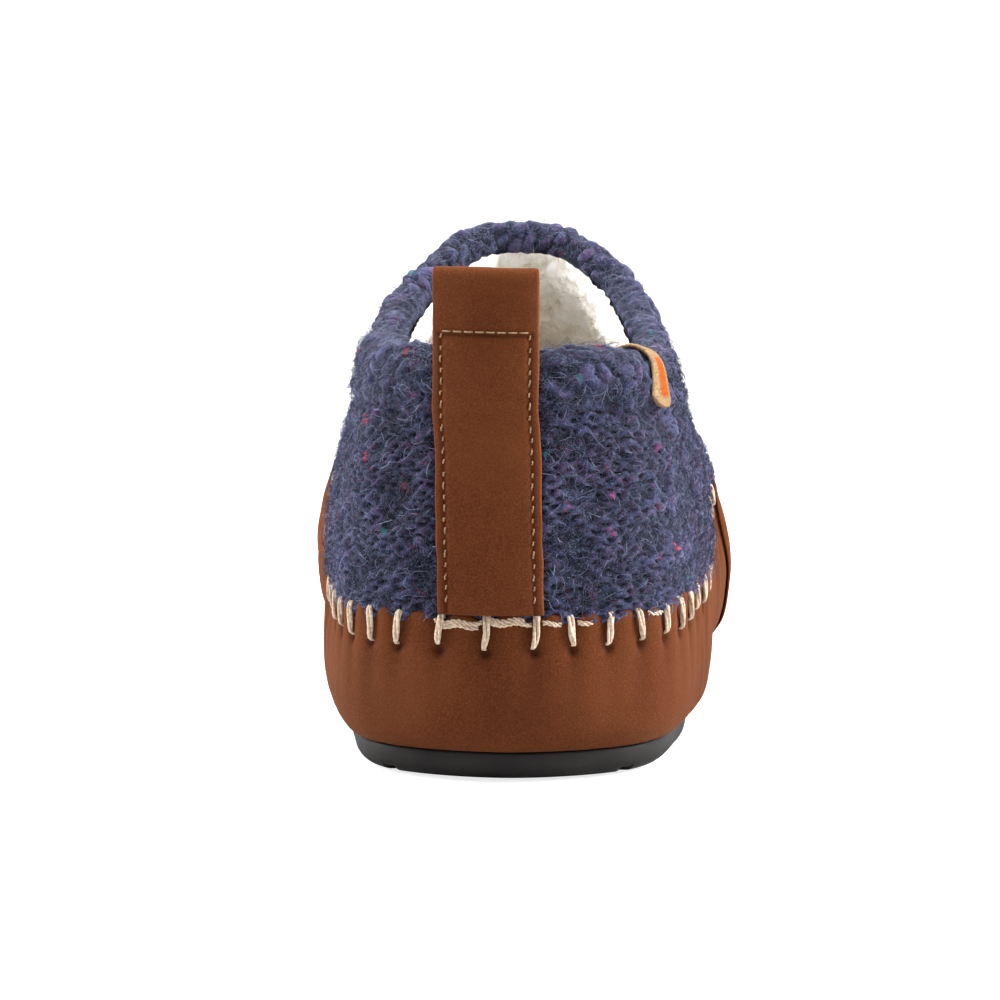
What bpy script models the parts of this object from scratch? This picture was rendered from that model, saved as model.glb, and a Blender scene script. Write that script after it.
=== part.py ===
"""A knitted moccasin slipper for the right foot, standing empty on its sole.

The pieces are the ones that a slipper maker joins: a moulded sole, a suede foxing round the heel, a
suede vamp round the toe, a knitted upper with a rolled collar, a footbed, a heel pull tab and a small
side label. Sizes are in millimetres until a mesh is made. +Y points from the heel to the toe, +X to
the outer side of the foot and +Z up.
"""

import math

import bmesh
import bpy
import numpy as np
from mathutils import Vector

MM = 0.001
GAP = 0.3

# Driving sizes of the slipper.
LENGTH = 252.0
SOLE_THICKNESS = 5.5
SUEDE = 1.8
KNIT_WALL = 4.4
TOE_RISE = 7.0
RISE_START = 178.0

# The suede's lower edge: it turns in over the sole's rim with a rounded corner. The inset is a share
# of the height at which the suede stands widest.
FEATHER_Z = SOLE_THICKNESS + GAP
FEATHER_INSET = 0.38
TURN_IN = 8.0

# How many sections the lofts round the whole shoe have, and those of one piece of suede.
RIB_COUNT = 80
SUEDE_COUNT = 40

# One row for each rib, from the widest line of the suede, up over the whip-stitched seam, to the
# collar. out_x and out_y are the rib's foot in plan, bulge_z is how high it stands widest, and the
# collar columns are its upper end. seam, shoulder and crest are each a share of the way in plan from
# foot to collar, and a height.
RIBS = [
    # name              out_x  out_y bulge_z  seam  seam_z shoulder  z     crest  z    collar_x  y      z
    ("heel_back",         0.0,   0.0, 14.0,   0.15, 31.5,   0.22,   52.0,  0.60, 73.0,    0.0,   6.0,  87.0),
    ("heel_turn_outer",  28.5,  12.0, 14.0,   0.05, 32.0,   0.12,   52.0,  0.50, 73.0,   21.0,  16.0,  86.5),
    ("heel_side_outer",  38.5,  45.0, 14.0,   0.05, 33.5,   0.14,   52.0,  0.60, 70.0,   28.8,  45.0,  82.0),
    ("waist_outer",      40.3,  98.0, 16.0,   0.08, 38.0,   0.36,   54.0,  0.80, 71.0,   30.5,  78.0,  82.0),
    ("ball_outer",       45.8, 154.0, 23.0,   0.25, 45.0,   0.52,   59.0,  0.86, 76.0,   24.5, 108.0,  91.0),
    ("toe_outer",        38.5, 205.0, 22.0,   0.17, 44.0,   0.40,   54.0,  0.70, 71.0,   15.5, 121.0,  98.5),
    ("toe_turn_outer",   20.0, 240.0, 21.0,   0.16, 42.0,   0.34,   51.0,  0.64, 69.0,    7.5, 127.5, 101.8),
    ("toe_tip",          -9.0, 252.0, 20.0,   0.15, 41.0,   0.32,   49.0,  0.62, 68.0,    0.0, 129.0, 102.5),
    ("toe_turn_inner",  -34.0, 241.0, 20.0,   0.16, 42.0,   0.33,   51.0,  0.63, 69.0,   -8.0, 127.5, 102.3),
    ("toe_inner",       -49.0, 208.0, 20.0,   0.16, 43.0,   0.38,   54.0,  0.67, 71.0,  -16.5, 121.0,  99.5),
    ("ball_inner",      -49.5, 168.0, 21.0,   0.21, 43.0,   0.48,   58.0,  0.76, 76.0,  -25.0, 108.0,  92.0),
    ("waist_inner",     -37.5, 102.0, 16.0,   0.06, 37.0,   0.28,   54.0,  0.72, 71.0,  -30.5,  78.0,  84.0),
    ("heel_side_inner", -38.3,  45.0, 14.0,   0.05, 33.5,   0.14,   52.0,  0.62, 71.0,  -28.6,  45.0,  85.0),
    ("heel_turn_inner", -29.5,  12.0, 14.0,   0.05, 32.0,   0.14,   52.0,  0.52, 73.0,  -21.0,  16.0,  87.0),
]

# Levels up a rib, as knots of its curve: about 20 mm of wall for each 1.0.
FEATHER, CORNER, BULGE, SEAM, SHOULDER, CREST, COLLAR = 0.0, 0.35, 0.8, 1.7, 2.7, 3.7, 4.7
LEVELS = np.array([FEATHER, CORNER, BULGE, SEAM, SHOULDER, CREST, COLLAR])

# The sole's bottom: a low arch under the waist of the foot.
ARCH_START, ARCH_END, ARCH_HEIGHT = 78.0, 136.0, 1.6
SOLE_OVERHANG = 0.7
SOLE_EDGE_INSET = 4.2
GROOVE_WIDTH, GROOVE_DEPTH = 2.0, 1.2
HEEL_GROOVES = [16.0, 27.0, 38.0, 49.0, 60.0]
FOREFOOT_GROOVES = [146.0, 157.0, 168.0, 179.0, 190.0, 201.0, 212.0]

FOOTBED_TOP = 17.0
COLLAR_HEIGHT = 13.0
COLLAR_THICKNESS = 8.2
COLLAR_PROUD = 0.9
KNIT_PROUD = 0.5

# The vamp's back edges, on the outer and inner side, and how far they stand proud of the foxing.
VAMP_EDGE_OUTER_Y = 138.0
VAMP_EDGE_INNER_Y = 142.0
VAMP_STEP = 1.5
VAMP_STEP_LENGTH = 16.0

TAB_WIDTH = 21.0
TAB_CENTRE_X = -3.4
TAB_LEAN = -1.2
TAB_THICKNESS = 1.5
TAB_LOOP_HEIGHT = 15.5
TAB_LOOP_GAP = 2.2
TAB_INSIDE_DROP = 12.0
TAB_INSIDE_SLACK = 0.4

LABEL_Y = 27.0
LABEL_WIDTH = 11.0
LABEL_LEAN = 6.0  # how far back its outer end hangs
LABEL_THICKNESS = 0.9
LABEL_DROP_OUTSIDE = 9.5
LABEL_DROP_INSIDE = 7.0


def toe_spring(y):
    """How far the shoe's underside has risen from the floor at y."""
    return TOE_RISE * np.clip((y - RISE_START) / (LENGTH - RISE_START), 0.0, None) ** 2


def rib_points():
    """The points of every rib at every level, as an array of ribs x levels x 3."""
    ribs = []
    for _, out_x, out_y, bulge_z, *shares, collar_x, collar_y, collar_z in RIBS:
        foot = np.array([out_x, out_y])
        collar = np.array([collar_x, collar_y])
        spine = np.array([0.0, min(max(out_y, 40.0), 212.0)])
        inward = (spine - foot) / np.linalg.norm(spine - foot)
        quarter = 1.0 - math.sqrt(0.5)
        inset = bulge_z * FEATHER_INSET
        points = [
            (*(foot + inward * inset), FEATHER_Z),
            (*(foot + inward * inset * quarter), FEATHER_Z + (bulge_z - FEATHER_Z) * quarter),
            (*foot, bulge_z),
        ]
        for share, z in zip(shares[0::2], shares[1::2]):
            points.append((*(foot + (collar - foot) * share), z))
        points.append((*collar, collar_z))
        ribs.append(points)
    ribs = np.array(ribs)
    ribs[..., 2] += toe_spring(ribs[..., 1])
    return ribs


def slopes(points, knots, closed):
    """The tangents of a smooth curve through the points at the knots."""
    count = len(points)
    found = np.zeros_like(points)
    for i in range(count):
        if not closed and i in (0, count - 1):
            continue
        before = (knots[i] - knots[i - 1]) if i else (knots[count] - knots[count - 1])
        after = knots[i + 1] - knots[i]
        rise_before = (points[i] - points[(i - 1) % count]) / before
        rise_after = (points[(i + 1) % count] - points[i]) / after
        found[i] = (rise_before * after + rise_after * before) / (before + after)
    if not closed:
        found[0] = 1.5 * (points[1] - points[0]) / (knots[1] - knots[0]) - 0.5 * found[1]
        found[-1] = 1.5 * (points[-1] - points[-2]) / (knots[-1] - knots[-2]) - 0.5 * found[-2]
    return found


def on_curve(points, tangents, knots, at):
    """The point of a cubic curve at one value of its parameter."""
    last = len(knots) - 2
    i = min(max(int(np.searchsorted(knots, at, side="right")) - 1, 0), last)
    span = knots[i + 1] - knots[i]
    t = (at - knots[i]) / span
    after = (i + 1) % len(points)
    return (
        (1 + 2 * t) * (1 - t) ** 2 * points[i]
        + t * (1 - t) ** 2 * span * tangents[i]
        + t * t * (3 - 2 * t) * points[after]
        + t * t * (t - 1) * span * tangents[after]
    )


RIB_POINTS = rib_points()
FOOT_STEPS = np.linalg.norm(np.roll(RIB_POINTS[:, 2, :2], -1, 0) - RIB_POINTS[:, 2, :2], axis=1)
ROUND = np.concatenate([[0.0], np.cumsum(FOOT_STEPS)])
ROUND_SLOPES = slopes(RIB_POINTS, ROUND, True)


def rib(u):
    """The rib's points and slopes at u, which runs round the shoe in millimetres from the heel's back."""
    points = on_curve(RIB_POINTS, ROUND_SLOPES, ROUND, u % ROUND[-1])
    tangents = slopes(points, LEVELS, False)
    # The feather meets the sole's top level, and the bulge stands upright.
    tangents[0] = (points[1] - points[0]) * [1.0, 1.0, 0.0] * 2.0 / (LEVELS[1] - LEVELS[0])
    return points, tangents


def last(u, v):
    """A point of the slipper's outer form, u round the shoe and v up the rib."""
    points, tangents = rib(u)
    return on_curve(points, tangents, LEVELS, v)


def frame_at(u, v):
    """The point at u, v with the outward normal and the unit direction up the rib."""
    step = 0.02
    low, high = max(v - step, FEATHER), min(v + step, COLLAR)
    up = last(u, high) - last(u, low)
    along = last(u + 0.5, v) - last(u - 0.5, v)
    normal = np.cross(along, up)
    return last(u, v), normal / np.linalg.norm(normal), up / np.linalg.norm(up)


def out(u, v, offset):
    """A point that stands off the form at u, v, along its normal."""
    point, normal, _ = frame_at(u, v)
    return point + normal * offset


def level_after(u, v, distance):
    """The level that lies a distance up the rib from v, or down it if the distance is negative."""
    steps = 12
    for _ in range(steps):
        speed = np.linalg.norm(last(u, min(v + 0.01, COLLAR)) - last(u, v - 0.01)) / 0.02
        v += distance / steps / speed
    return v


def inward_in_plan(u, level):
    """The level direction, in plan, from the form's outline towards the middle of the shoe."""
    along = last(u + 0.5, level) - last(u - 0.5, level)
    side = np.array([-along[1], along[0], 0.0])
    return side / np.linalg.norm(side)


def turned_in(u, distance, height):
    """A point of the lower edge turned in under the foot, at a height over the shoe's underside."""
    point = last(u, FEATHER) + inward_in_plan(u, FEATHER) * distance
    point[2] = height + toe_spring(point[1])
    return point


def u_values(start, end, count):
    return [start + (end - start) * i / count for i in range(count + 1)]


def u_where_y(y, outer_side):
    """u where the widest line of the suede passes y, on the outer or the inner side."""
    toe = ROUND[[name for name, *_ in RIBS].index("toe_tip")]
    low, high = (0.0, toe) if outer_side else (ROUND[-1], toe)
    for _ in range(40):
        middle = (low + high) / 2
        if last(middle, BULGE)[1] < y:
            low = middle
        else:
            high = middle
    return (low + high) / 2


def material(name, colour, roughness, metallic=0.0):
    made = bpy.data.materials.new(name)
    made.use_nodes = True
    shader = made.node_tree.nodes["Principled BSDF"]
    shader.inputs["Base Color"].default_value = (*colour, 1.0)
    shader.inputs["Roughness"].default_value = roughness
    shader.inputs["Metallic"].default_value = metallic
    return made


def make_object(name, vertices, faces, finish):
    """An object from millimetre points, its faces pointing out."""
    mesh = bpy.data.meshes.new(name)
    mesh.from_pydata([Vector(v) * MM for v in vertices], [], faces)
    work = bmesh.new()
    work.from_mesh(mesh)
    bmesh.ops.recalc_face_normals(work, faces=work.faces)
    work.to_mesh(mesh)
    work.free()
    mesh.shade_smooth()
    mesh.set_sharp_from_angle(angle=math.radians(40))
    mesh.materials.append(finish)
    made = bpy.data.objects.new(name, mesh)
    bpy.context.scene.collection.objects.link(made)
    return made


def ring_loft(name, sections, closed, finish):
    """A solid from closed sections set side by side. A loft that isn't closed gets its two ends filled
    by strips across the section, from its outer to its inner side."""
    size = len(sections[0])
    vertices = [point for section in sections for point in section]
    faces = []
    count = len(sections)
    for i in range(count if closed else count - 1):
        a, b = i * size, (i + 1) % count * size
        for j in range(size):
            k = (j + 1) % size
            faces.append((a + j, b + j, b + k, a + k))
    if not closed:
        for base in (0, (count - 1) * size):
            for j in range(size // 2 - 1):
                faces.append((base + j, base + j + 1, base + size - 2 - j, base + size - 1 - j))
    return make_object(name, vertices, faces, finish)


def slab(name, rings, finish):
    """A solid from plan rings, lowest first, whose two ends are closed by strips across the shoe."""
    count = len(rings[0])
    vertices = [point for ring in rings for point in ring]
    faces = []
    for level in range(len(rings) - 1):
        a, b = level * count, (level + 1) * count
        for i in range(count):
            k = (i + 1) % count
            faces.append((a + i, a + k, b + k, b + i))
    for base in (0, (len(rings) - 1) * count):
        for i in range(count // 2):
            corners = (base + i, base + i + 1, base + count - i - 1, base + (count - i) % count)
            faces.append(tuple(dict.fromkeys(corners)))
    return make_object(name, vertices, faces, finish)


def suede_section(u, step):
    """A section through the suede: turned in under the foot, round the corner and up to the seam.
    step is how far its face stands proud of the form."""
    levels = [FEATHER, 0.15, CORNER, 0.55, BULGE, 1.1, 1.4, SEAM - 0.12, SEAM]
    lip = {SEAM - 0.12: 0.5, SEAM: 0.6}
    rise = [0.0, 0.3, 0.8, 1.0, 1.0, 1.0, 1.0, 1.0, 1.0]
    outer = [out(u, v, lip.get(v, 0.0) + step * r) for v, r in zip(levels, rise)]
    inner = [out(u, v, -SUEDE) for v in reversed(levels)]
    return (
        [turned_in(u, TURN_IN, FEATHER_Z)]
        + outer
        + inner
        + [turned_in(u, TURN_IN, FEATHER_Z + SUEDE)]
    )


def suede_foxing(finish):
    """The suede band round the heel and both sides of the foot, up to the vamp's back edges."""
    start = u_where_y(VAMP_EDGE_INNER_Y, False) - ROUND[-1]
    end = u_where_y(VAMP_EDGE_OUTER_Y, True)
    sections = [suede_section(u, 0.0) for u in u_values(start + GAP, end - GAP, SUEDE_COUNT)]
    return ring_loft("suede_foxing", sections, False, finish)


def suede_vamp(finish):
    """The suede wall round the toe. Its back edges are turned, and stand proud of the foxing."""
    start = u_where_y(VAMP_EDGE_OUTER_Y, True)
    end = u_where_y(VAMP_EDGE_INNER_Y, False)
    sections = []
    for u in u_values(start + GAP, end - GAP, SUEDE_COUNT):
        from_edge = min(u - start, end - u)
        fade = max(0.0, 1.0 - from_edge / VAMP_STEP_LENGTH)
        sections.append(suede_section(u, VAMP_STEP * fade * fade * (3 - 2 * fade)))
    return ring_loft("suede_vamp", sections, False, finish)


def roll_at(u):
    """The middle of the rolled collar at u, with its outward and upward directions."""
    radius = COLLAR_THICKNESS / 2
    point, normal, up = frame_at(u, level_after(u, COLLAR, -radius))
    return point + normal * (COLLAR_PROUD - radius), normal, up


def collar_arc(u):
    """The rolled top of the collar, from its outer to its inner side."""
    middle, normal, up = roll_at(u)
    angles = [math.pi * k / 6 for k in range(7)]
    return [middle + (normal * math.cos(a) + up * math.sin(a)) * COLLAR_THICKNESS / 2 for a in angles]


def knit_section(u):
    """A section through the knitted wall: hidden under the suede, stepped out above the seam, and
    rolled over at the collar."""
    under = -(SUEDE + GAP)
    inner_low = under - KNIT_WALL
    inner_high = KNIT_PROUD - KNIT_WALL
    step_level = level_after(u, SEAM, GAP + 0.1)
    roll_level = level_after(u, COLLAR, -COLLAR_HEIGHT)
    lower = [turned_in(u, TURN_IN, FEATHER_Z + SUEDE + GAP)]
    lower += [out(u, v, under) for v in (FEATHER, CORNER, BULGE, 1.1, 1.4)]
    lower += [out(u, step_level, under), out(u, step_level, KNIT_PROUD)]
    walls = [step_level + (roll_level - step_level) * k / 5 for k in range(1, 6)]
    outer = [out(u, v, KNIT_PROUD) for v in walls]
    roll_start = level_after(u, roll_level, 1.2)
    collar_outer = [out(u, roll_start, COLLAR_PROUD)]
    collar_inner = [out(u, roll_start, COLLAR_PROUD - COLLAR_THICKNESS)]
    inner = [out(u, v, inner_high) for v in reversed(walls)]
    inner += [out(u, SEAM, (inner_high + inner_low) / 2), out(u, 1.25, inner_low), out(u, BULGE, inner_low)]
    heel_of_wall = inner[-1] + inward_in_plan(u, BULGE) * 0.5
    floor_z = FEATHER_Z + SUEDE + GAP + KNIT_WALL - 0.8
    heel_of_wall[2] = floor_z + toe_spring(heel_of_wall[1])
    return (
        lower
        + outer
        + collar_outer
        + collar_arc(u)
        + collar_inner
        + inner
        + [heel_of_wall, turned_in(u, TURN_IN, floor_z)]
    )


def knit_upper(finish):
    """The knitted upper: one hollow wall, open at the collar and underneath."""
    sections = [knit_section(u) for u in u_values(0.0, ROUND[-1], RIB_COUNT)[:-1]]
    return ring_loft("knit_upper", sections, True, finish)


def inset_ring(level, inset, height):
    """A ring in plan, inside the form's outline at a level, at a height over the shoe's underside."""
    ring = []
    for u in u_values(0.0, ROUND[-1], RIB_COUNT)[:-1]:
        point = last(u, level) + inward_in_plan(u, level) * inset
        point[2] = height + toe_spring(point[1])
        ring.append(point)
    return ring


def arch(y):
    share = (y - ARCH_START) / (ARCH_END - ARCH_START)
    return ARCH_HEIGHT * math.sin(math.pi * share) ** 2 if 0.0 < share < 1.0 else 0.0


def sole(finish):
    """The moulded outsole: a cup-edged slab with toe spring, a low arch and cross grooves."""
    profile = [
        # inset from the top rim, height
        (SOLE_EDGE_INSET, 0.0),
        (SOLE_EDGE_INSET * 0.45, 0.55),
        (SOLE_EDGE_INSET * 0.14, 1.7),
        (0.0, 3.4),
        (0.0, SOLE_THICKNESS - 0.4),
        (0.4, SOLE_THICKNESS),
    ]
    rings = [inset_ring(FEATHER, inset - SOLE_OVERHANG, z) for inset, z in profile]
    for point in rings[0]:
        point[2] += arch(point[1])
    for point in rings[1]:
        point[2] += arch(point[1]) * 0.6
    made = slab("outsole", rings, finish)
    for number, y in enumerate(HEEL_GROOVES + FOREFOOT_GROOVES):
        depth = GROOVE_DEPTH + toe_spring(y)
        bpy.ops.mesh.primitive_cube_add(size=1.0)
        cutter = bpy.context.object
        cutter.name = f"groove_cutter_{number}"
        cutter.dimensions = (0.2, GROOVE_WIDTH * MM, (10.0 + depth) * MM)
        cutter.location = (0.0, y * MM, (depth - 10.0) / 2 * MM)
        cutter.hide_render = True
        cutter.display_type = "WIRE"
        cut = made.modifiers.new(f"groove_{number}", "BOOLEAN")
        cut.object = cutter
        cut.operation = "DIFFERENCE"
        cut.solver = "EXACT"
    return made


def footbed(finish):
    """The padded insole, whose underside fills the space inside the turned-in edges."""
    floor_z = FEATHER_Z + SUEDE + GAP + KNIT_WALL - 0.8 + GAP
    wall = SUEDE + GAP + KNIT_WALL + 1.0
    below = TURN_IN + GAP + 0.1
    rings = [
        inset_ring(FEATHER, below, FEATHER_Z + GAP),
        inset_ring(FEATHER, below, floor_z),
        inset_ring(BULGE, wall + 0.2, floor_z),
        inset_ring(BULGE, wall, (floor_z + FOOTBED_TOP) / 2),
        inset_ring(BULGE, wall + 0.3, FOOTBED_TOP - 0.8),
        inset_ring(BULGE, wall + 1.4, FOOTBED_TOP),
    ]
    return slab("footbed", rings, finish)


def u_where_x(x, level, offset):
    """u on the heel's back where the form's offset surface passes x."""
    reach = 24.0
    low, high = -reach, reach
    for _ in range(40):
        middle = (low + high) / 2
        if out(middle, level, offset)[0] < x:
            low = middle
        else:
            high = middle
    return (low + high) / 2


def tab_spine(x):
    """The tab's run at one place across its width: up the heel's back, over the loop, and down round
    the rolled collar to its end inside."""
    clear = GAP + TAB_THICKNESS / 2
    radius = COLLAR_THICKNESS / 2
    inner = COLLAR_PROUD - COLLAR_THICKNESS - clear - TAB_INSIDE_SLACK
    start = level_after(u_where_x(x, SEAM, 0.0), SEAM, 1.6)
    run = []
    for level in (start, 2.0, 2.35, 2.7, 3.05, 3.4):
        u = u_where_x(x + TAB_LEAN * (level - start) / (COLLAR - start), level, KNIT_PROUD + clear)
        run.append(out(u, level, KNIT_PROUD + clear))
    x += TAB_LEAN
    for level in (3.7, 3.95, 4.25):
        run.append(out(u_where_x(x, level, COLLAR_PROUD + clear), level, COLLAR_PROUD + clear))
    u = u_where_x(x, 4.4, COLLAR_PROUD + clear)
    roll, normal, up = roll_at(u)
    run.append(roll + normal * (radius + clear))
    rim = roll[2] + radius
    loop_top = rim + TAB_LOOP_HEIGHT
    half = TAB_LOOP_GAP / 2
    back = run[-1][1] + 0.5
    run.append(np.array([x, back, rim + 3.0]))
    run.append(np.array([x, back, loop_top - 6.0]))
    for angle in (180, 135, 90, 45, 0):
        a = math.radians(angle)
        bend = np.array([0.0, half + half * math.cos(a), -half + half * math.sin(a)])
        run.append(np.array([x, back, loop_top]) + bend)
    run.append(np.array([x, back + TAB_LOOP_GAP, loop_top - 6.0]))
    run.append(np.array([x, back + TAB_LOOP_GAP + 0.6, rim + 3.4]))
    inner_u = u_where_x(x, 4.4, inner)
    for angle in (105, 125, 145, 165, 180):
        share = (angle - 90) / 90
        roll, normal, up = roll_at(u + (inner_u - u) * share)
        a = math.radians(angle)
        reach = radius + clear + TAB_INSIDE_SLACK * share
        run.append(roll + (normal * math.cos(a) + up * math.sin(a)) * reach)
    for drop in (7.5, TAB_INSIDE_DROP):
        run.append(out(inner_u, level_after(inner_u, COLLAR, -drop), inner))
    return np.array(run)


def strip(name, spines, thickness, finish):
    """A strap of even thickness that follows spines set side by side."""
    spines = np.array(spines)
    along = np.gradient(spines, axis=1)
    across = np.gradient(spines, axis=0)
    normals = np.cross(across, along)
    normals /= np.linalg.norm(normals, axis=2, keepdims=True)
    upper = spines + normals * thickness / 2
    lower = spines - normals * thickness / 2
    sections = [np.concatenate([upper[:, j], lower[::-1, j]]) for j in range(spines.shape[1])]
    return ring_loft(name, sections, False, finish)


def pull_tab(finish):
    """The suede strap up the heel's back, folded over into a loop above the collar."""
    columns = np.linspace(-TAB_WIDTH / 2, TAB_WIDTH / 2, 7) + TAB_CENTRE_X
    return strip("pull_tab", [tab_spine(x) for x in columns], TAB_THICKNESS, finish)


def side_label(finish):
    """The small label folded over the collar's edge on the outer side, with round ends."""
    middle = u_where_y(LABEL_Y, True)
    clear = GAP + LABEL_THICKNESS / 2
    spines = []
    for share in np.linspace(-1.0, 1.0, 9):
        u = middle + share * LABEL_WIDTH / 2
        round_end = 1.0 - math.sqrt(max(0.0, 1.0 - (share * 0.93) ** 2))
        outside = LABEL_DROP_OUTSIDE - round_end * LABEL_WIDTH * 0.32
        inside = LABEL_DROP_INSIDE - round_end * LABEL_WIDTH * 0.12
        radius = COLLAR_THICKNESS / 2
        centre, normal, up = roll_at(u)
        run = []
        for k in range(5):
            lower = 1 - k / 4
            leaning_u = u - LABEL_LEAN * lower
            level = level_after(leaning_u, COLLAR, -radius - outside * lower)
            run.append(out(leaning_u, level, COLLAR_PROUD + clear))
        for k in range(1, 8):
            angle = math.pi * k / 8
            run.append(centre + (normal * math.cos(angle) + up * math.sin(angle)) * (radius + clear))
        for k in range(3):
            level = level_after(u, COLLAR, -radius - inside * k / 2)
            run.append(out(u, level, COLLAR_PROUD - COLLAR_THICKNESS - clear))
        spines.append(run)
    return strip("side_label", spines, LABEL_THICKNESS, finish)


def build():
    for old in list(bpy.data.objects):
        bpy.data.objects.remove(old, do_unlink=True)
    suede = material("brown_suede", (0.18, 0.062, 0.028), 0.92)
    knit = material("navy_wool_knit", (0.05, 0.048, 0.095), 0.95)
    rubber = material("black_rubber", (0.02, 0.019, 0.02), 0.6)
    fleece = material("cream_fleece", (0.72, 0.68, 0.6), 0.95)
    canvas = material("tan_label", (0.5, 0.34, 0.19), 0.85)
    pieces = [
        sole(rubber),
        suede_foxing(suede),
        suede_vamp(suede),
        knit_upper(knit),
        footbed(fleece),
        pull_tab(suede),
        side_label(canvas),
    ]
    bpy.context.view_layer.update()
    # The frame's origin is at the middle of the whole slipper's box, on the floor.
    graph = bpy.context.evaluated_depsgraph_get()
    corners = np.array([c for piece in pieces for c in piece.evaluated_get(graph).bound_box])
    middle = (corners.min(axis=0) + corners.max(axis=0)) / 2
    stand = bpy.data.objects.new("slipper", None)
    bpy.context.scene.collection.objects.link(stand)
    for made in list(bpy.data.objects):
        if made is not stand:
            made.parent = stand
    stand.location = (-middle[0], -middle[1], -corners[:, 2].min())


build()
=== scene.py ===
"""A knitted slipper for the right foot, seen from behind: a navy tweed upper with a rolled collar and a
cream fleece lining, brown suede whip-stitched round its foot, a suede pull tab and a black rubber sole.

Sizes are in millimetres and turned to metres when a piece is placed. Each piece follows the slipper's
form, which is worked out from one table of ribs round the shoe.
"""

import math

import bpy
import numpy as np
from mathutils import Matrix, Vector, noise


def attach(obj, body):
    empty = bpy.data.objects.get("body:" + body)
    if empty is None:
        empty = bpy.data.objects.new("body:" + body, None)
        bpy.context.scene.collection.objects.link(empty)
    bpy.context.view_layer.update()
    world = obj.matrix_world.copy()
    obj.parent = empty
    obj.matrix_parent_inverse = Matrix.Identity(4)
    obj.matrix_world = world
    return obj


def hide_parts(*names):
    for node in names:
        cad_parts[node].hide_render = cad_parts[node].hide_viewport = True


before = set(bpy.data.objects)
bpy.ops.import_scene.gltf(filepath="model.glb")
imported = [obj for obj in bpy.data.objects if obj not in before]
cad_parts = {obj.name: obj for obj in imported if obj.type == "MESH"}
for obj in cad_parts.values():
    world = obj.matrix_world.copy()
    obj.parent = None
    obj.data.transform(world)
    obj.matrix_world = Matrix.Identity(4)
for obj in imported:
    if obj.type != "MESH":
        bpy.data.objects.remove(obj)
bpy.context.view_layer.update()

# The stage: a plain pale floor, a soft light from the right and above, and a weaker one from the left.
# The camera stands a metre behind the heel, a little above the collar, as the photographer's did.

MM = 0.001
FLOOR_SIZE, FLOOR_Z, FLOOR_GLOW = 30.0, -0.0006, 0.78
TURN, LIFT = 2.0, 7.5  # degrees by which the camera is turned and looks down
CAMERA_LEFT, CAMERA_ABOVE, CAMERA_BACK, LENS = 1.6, 56.4, 1000.0, 181.8
HEEL = np.array([2.01, -125.23, 0.0])  # the middle of the heel's back, on the floor

bpy.ops.object.select_all(action="DESELECT")
bpy.ops.mesh.primitive_plane_add(size=FLOOR_SIZE, location=(0.0, 0.0, FLOOR_Z))
floor = bpy.context.object
floor.name = "pale_floor"
paper = bpy.data.materials.new("pale_paper")
paper.use_nodes = True
paper_shader = paper.node_tree.nodes["Principled BSDF"]
paper_shader.inputs["Base Color"].default_value = (0.55, 0.55, 0.55, 1.0)
paper_shader.inputs["Roughness"].default_value = 0.9
paper_shader.inputs["Specular IOR Level"].default_value = 0.0
# The floor glows for the camera alone, so that it shows white and lights the shoe no more than paper does.
paper_shader.inputs["Emission Color"].default_value = (1.0, 1.0, 1.0, 1.0)
ray = paper.node_tree.nodes.new("ShaderNodeLightPath")
glow = paper.node_tree.nodes.new("ShaderNodeMath")
glow.operation = "MULTIPLY"
glow.inputs[1].default_value = FLOOR_GLOW
paper.node_tree.links.new(ray.outputs["Is Camera Ray"], glow.inputs[0])
paper.node_tree.links.new(glow.outputs["Value"], paper_shader.inputs["Emission Strength"])
floor.data.materials.append(paper)

sky = bpy.data.worlds.new("studio")
sky.use_nodes = True
sky.node_tree.nodes["Background"].inputs["Color"].default_value = (1.0, 1.0, 1.0, 1.0)
sky.node_tree.nodes["Background"].inputs["Strength"].default_value = 0.42
bpy.context.scene.world = sky
bpy.context.scene.view_settings.view_transform = "Standard"


def softbox(name, place, aim, size, power):
    bpy.ops.object.light_add(type="AREA", location=place)
    lamp = bpy.context.object
    lamp.name = name
    lamp.data.shape = "RECTANGLE"
    lamp.data.size, lamp.data.size_y = size
    lamp.data.energy = power
    lamp.rotation_euler = (Vector(aim) - Vector(place)).to_track_quat("-Z", "Y").to_euler()


softbox("key_from_the_right", (1.25, -0.08, 0.70), (0.0, -0.05, 0.05), (0.7, 0.9), 42.0)
softbox("top_light", (-0.1, 0.05, 1.3), (0.0, -0.05, 0.05), (0.9, 0.9), 23.0)
softbox("left_edge_light", (-1.2, 0.12, 0.6), (0.0, -0.05, 0.05), (0.5, 0.8), 24.0)

turn, lift = math.radians(TURN), math.radians(LIFT)
to_right = Vector((math.cos(turn), math.sin(turn), 0.0))
ahead = Vector((-math.sin(turn) * math.cos(lift), math.cos(turn) * math.cos(lift), -math.sin(lift)))
upward = to_right.cross(ahead)
bpy.ops.object.camera_add()
camera = bpy.context.object
camera.data.lens = LENS
camera.data.sensor_width = 36.0
beside_heel = Vector(HEEL) - to_right * CAMERA_LEFT + upward * CAMERA_ABOVE
camera.location = (beside_heel - ahead * CAMERA_BACK) * MM
camera.rotation_euler = Matrix((to_right, upward, -ahead)).transposed().to_euler()
bpy.context.scene.camera = camera

# The outsole: moulded black rubber with a rounded edge, a fine pebbled side and cross grooves.
# The form of the whole slipper is worked out here, since the sole's edge is its lowest line.

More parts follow.
